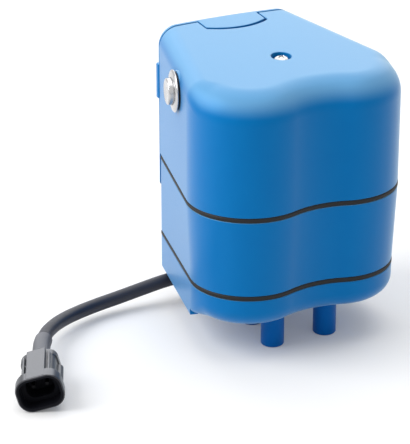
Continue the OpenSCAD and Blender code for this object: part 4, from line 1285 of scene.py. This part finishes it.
def plug_housing():
    """Collar and body, with a panel and two ridges on top, a rail on each side and a small catch."""
    w, d = PLUG_W, PLUG_H
    shell = Shell()
    plug_rows(shell, [
        (SEAL_LAP, w - 1.3, d - 1.3, 5.6), (0.02, w - 1.3, d - 1.3, 5.6), (0.0, w - 0.9, d - 0.9, 5.8),
        (0.12, w - 0.4, d - 0.4, 6.0), (0.45, w, d, 6.2), (COLLAR_LEN - 2.2, w, d, 6.2),
        (COLLAR_LEN - 1.4, w - 0.3, d - 0.3, 6.0), (COLLAR_LEN - 0.4, BODY_W + 1.2, BODY_H + 0.6, 4.4),
        (COLLAR_LEN + 0.3, BODY_W, BODY_H, 3.6), (PLUG_END - 5.4, BODY_W, BODY_H, 3.6),
        (PLUG_END - 4.9, BODY_W + 1.2, BODY_H + 0.3, 4.2), (PLUG_END - 1.2, BODY_W + 1.2, BODY_H + 0.3, 4.2),
        (PLUG_END - 0.4, BODY_W + 0.5, BODY_H - 0.4, 4.0), (PLUG_END, BODY_W - 1.0, BODY_H - 1.6, 3.6),
    ], (False, True))
    panel = PANEL_HALF_W
    on_plug_block(shell, (-panel, -d / 2 - PANEL_PROUD, 0.5), (panel, 1.4 - d / 2, PLUG_END - 2.4), 0.45)
    panel -= 0.1
    on_plug_block(shell, (-panel, 0.9 - d / 2, COLLAR_LEN - 1.0), (panel, BODY_TOP + 2.0, PLUG_END - 2.6), 0.3)
    for side in (-1, 1):
        x0, x1 = sorted(side * x for x in RIDGE_X)
        on_plug_block(shell, (x0, BODY_TOP - 1.0, COLLAR_LEN - 1.6), (x1, BODY_TOP + 1.5, PLUG_END - 5.2), 0.25)
        rail_x = side * (BODY_W / 2 + 0.3)
        shell.turned(
            [
                (RAIL_R - 0.3, COLLAR_LEN - 0.6), (RAIL_R, COLLAR_LEN),
                (RAIL_R, PLUG_END - 7.2), (RAIL_R - 0.3, PLUG_END - 6.8),
            ],
            lambda u, v, h: on_plug(rail_x + u, RAIL_Y + v, h), 28,
        )
    low, high = (-5.4, BODY_TOP - 0.25, COLLAR_LEN + 7.2), (-3.8, BODY_TOP + 0.6, COLLAR_LEN + 8.6)
    on_plug_block(shell, low, high, 0.2)
    piece("plug_housing", shell, "plug_plastic", ("plug_shell",), sharp=34)


def plug_boot():
    """Sleeve over the cable, and a boot with three ribs between it and the plug."""
    places = [ROUTE[9].lerp(ROUTE[10], 0.4), *ROUTE[10:12]]
    sleeve = as_mesh(tube("plug_sleeve", places, CABLE_D + 2 * SLEEVE_WALL))
    settle(finish_mesh(sleeve), "boot_rubber")
    inner = CABLE_D / 2 - 0.1
    start = PLUG_END - 0.6
    profile = [(inner, start), (BOOT_R, start), (BOOT_R, PLUG_END + 0.6), (BOOT_R - 0.3, PLUG_END + 1.0)]
    for k in range(BOOT_RIBS):
        h = PLUG_END + 1.6 + RIB_PITCH * k
        r = BOOT_R - 0.35 - RIB_TAPER * k
        profile += [(r - 0.25, h), (r, h + 0.35), (r, h + 0.85), (r - 0.25, h + 1.2)]
    end = PLUG_END + BOOT_LEN
    profile += [(4.25, end - 0.2), (4.0, end), (inner, end)]
    boot = Shell()
    boot.turned(profile, on_plug, 48, closed=True)
    piece("plug_cable_boot", boot, "boot_rubber", ("plug_boot",), sharp=50)


# Foam filter: a block with a lumpy open surface
FOAM_SLACK = 0.35
FOAM_EASE = 1.2
FOAM_EDGE = 1.6
FOAM_SPLITS = 7
LUMP_H = 0.3
LUMPS_PER_MM = 0.9


def foam():
    work = eased_cube(FILTER_LOW + FOAM_SLACK, FILTER_HIGH - FOAM_SLACK, FOAM_EASE, 3)
    bmesh.ops.triangulate(work, faces=work.faces)
    for _ in range(FOAM_SPLITS):
        long_edges = [e for e in work.edges if e.calc_length() > FOAM_EDGE]
        if not long_edges:
            break
        bmesh.ops.subdivide_edges(work, edges=long_edges, cuts=1)
        bmesh.ops.triangulate(work, faces=[f for f in work.faces if len(f.verts) > 3])
    work.normal_update()
    for v in work.verts:
        v.co += v.normal * LUMP_H * noise.noise(v.co * LUMPS_PER_MM)
    shell = Shell()
    shell.take(work)
    piece("filter_foam_block", shell, "filter_foam", ("air_filter",), sharp=60)


# Coils and springs: a geometry tree winds a wire round an upright axis
COIL_WIRE_D = 1.0
SPRING_WIRE_D = 0.8
SPRING_TURNS = 6
STEPS_PER_TURN = 28
WIRE_SIDES = 6


def coil_tree():
    sizes = [(name, "Float") for name in ("Radius", "Height", "Wire radius", "Turns")]
    tree, given = geometry_tree("wound coil", [*sizes, ("Foot", "Vector")])
    helix = add(tree, "GeometryNodeCurveSpiral", {
        "Resolution": STEPS_PER_TURN, "Rotations": given["Turns"], "Start Radius": given["Radius"],
        "End Radius": given["Radius"], "Height": given["Height"],
    })
    placed = add(tree, "GeometryNodeTransform", {"Geometry": helix, "Translation": given["Foot"]})
    size = {"Resolution": WIRE_SIDES, "Radius": given["Wire radius"]}
    wire = add(tree, "GeometryNodeCurvePrimitiveCircle", size)
    wound = add(tree, "GeometryNodeCurveToMesh", {"Curve": placed, "Profile Curve": wire, "Fill Caps": True})
    return end_tree(tree, wound, given["Material"])


WOUND_COIL = coil_tree()


def wind(name, node, wire_d, turns, slot, material=None):
    """Winds a wire over the whole height of a CAD node, flush with its outer side; no turns given
    means turn on turn."""
    low, high = box_mm(node)
    height = high[2] - low[2] - wire_d
    obj = new_object(name, bpy.data.meshes.new(name))
    run_tree(obj, WOUND_COIL, {
        "Radius": ((high[0] - low[0]) / 2 - wire_d / 2) * MM, "Height": height * MM,
        "Wire radius": wire_d / 2 * MM, "Turns": turns or height / wire_d,
        "Foot": Vector((*(low[:2] + high[:2]) / 2, low[2] + wire_d / 2)) * MM,
        "Material": material or FINISHES[slot],
    })
    finish_mesh(obj, sharp=60)
    return settle(obj, slot, (node,), material=material)


def coils():
    for side in ("left", "right"):
        wind(side + "_coil_wire", side + "_winding", COIL_WIRE_D, None, "copper_wire")


def springs():
    """Return springs, which shorten towards the pole above them as their plungers lift."""
    for side in ("left", "right"):
        node = side + "_return_spring"
        name = side + "_spring_wire"
        spring = wind(name, node, SPRING_WIRE_D, SPRING_TURNS, "bright_steel", screw_steel)
        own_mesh(spring)


def paint_nodes():
    """Gives the CAD nodes their slots' finishes, and the plug's pins a dark one, painted shade for the deep
    mouth.
    """
    for row in frame["record"]["subparts"]:
        data = frame["nodes"][row["node"]].data
        data.materials.clear()
        data.materials.append(pin_painted_shade if row["node"] == "plug_pins" else FINISHES[row["material_slot"]])


# Floor and light: a white floor that keeps the shadow, and soft light from behind, above and the left
FLOOR_REACH = 4.0
FLOOR_WHITE = "#F4F4F4"
FLOOR_LIFT = 0.12
WORLD_LIGHT = 0.5
WHITE = (1, 1, 1, 1)


def shown_rays(tree):
    """1 for rays that show the background itself, 0 for rays that only carry its light."""
    path = add(tree, "ShaderNodeLightPath").outputs
    seen = calculate(tree, "MAXIMUM", path["Is Camera Ray"], path["Is Glossy Ray"])
    return calculate(tree, "MAXIMUM", seen, path["Is Transmission Ray"])


def stage():
    corners = [(x * FLOOR_REACH, y * FLOOR_REACH, 0) for x, y in ((-1, -1), (1, -1), (1, 1), (-1, 1))]
    mesh = bpy.data.meshes.new("floor")
    mesh.from_pydata(corners, [], [(0, 1, 2, 3)])
    floor = new_object("floor", mesh)
    material = bpy.data.materials.new("white studio floor")
    material.use_nodes = True
    tree = material.node_tree
    shader = tree.nodes["Principled BSDF"]
    feed(tree, shader, {"Base Color": linear(FLOOR_WHITE), "Roughness": 0.9, "Specular IOR Level": 0.1})
    glow = add(tree, "ShaderNodeEmission", {"Color": WHITE, "Strength": 1.0})
    lift = calculate(tree, "MULTIPLY", shown_rays(tree), FLOOR_LIFT)
    blend = add(tree, "ShaderNodeMixShader", {0: lift, 1: shader, 2: glow})
    feed(tree, tree.nodes["Material Output"], {"Surface": blend})
    mesh.materials.append(material)

    world = bpy.data.worlds.new("studio")
    bpy.context.scene.world = world
    world.use_nodes = True
    tree = world.node_tree
    range_ends = {"Value": shown_rays(tree), "To Min": WORLD_LIGHT, "To Max": 1.0}
    level = add(tree, "ShaderNodeMapRange", range_ends)
    feed(tree, tree.nodes["Background"], {"Color": WHITE, "Strength": level})


def softbox(name, place, aim, width, height, power):
    data = bpy.data.lights.new(name, "AREA")
    data.shape = "RECTANGLE"
    data.size = width
    data.size_y = height
    data.energy = power
    obj = new_object(name, data)
    obj.location = place
    obj.rotation_euler = (Vector(aim) - Vector(place)).to_track_quat("-Z", "Y").to_euler()


# All the pieces, then the floor and the light
paint_nodes()
lead = cable()
top_cover()
filter_door()
tier_band(
    "middle_tier", MIDDLE_LOW, MIDDLE_HIGH, TIER_WALL, 0, EDGE_ROUND,
    "housing_plastic", ("middle_body",), drawn=True,
)
for bead, low_z, high_z, node, at_foot in (
    ("upper_seal_bead", MIDDLE_HIGH, COVER_BOTTOM, "upper_gasket", False),
    ("lower_seal_bead", BASE_TOP, MIDDLE_LOW, "lower_gasket", True),
):
    tier_band(bead, low_z, high_z, BEAD_W, BEAD_PROUD, BEAD_EDGE, "gasket_rubber", (node,), foot=at_foot)
base()
port("left_pulse_port", "pulse_nipple_left", PULSE_BORE_R)
port("right_pulse_port", "pulse_nipple_right", PULSE_BORE_R)
port("clean_air_port", "air_nipple", AIR_BORE_R)
port("vacuum_port", "vacuum_inlet", VACUUM_BORE_R)
screws()
button()
gland()
plug_housing()
plug_mouth()
plug_boot()
foam()
coils()
springs()
stage()
softbox("rear softbox", (0.45, 0.85, 1.08), (0, 0, 0.08), 1.7, 2.0, 11)
softbox("left softbox", (-0.98, 0.28, 0.82), (0, 0, 0.06), 0.9, 0.9, 13)
softbox("overhead softbox", (0.2, -0.1, 1.4), (0, 0, 0.0), 0.9, 0.9, 4)

bpy.context.scene.view_settings.view_transform = "Standard"
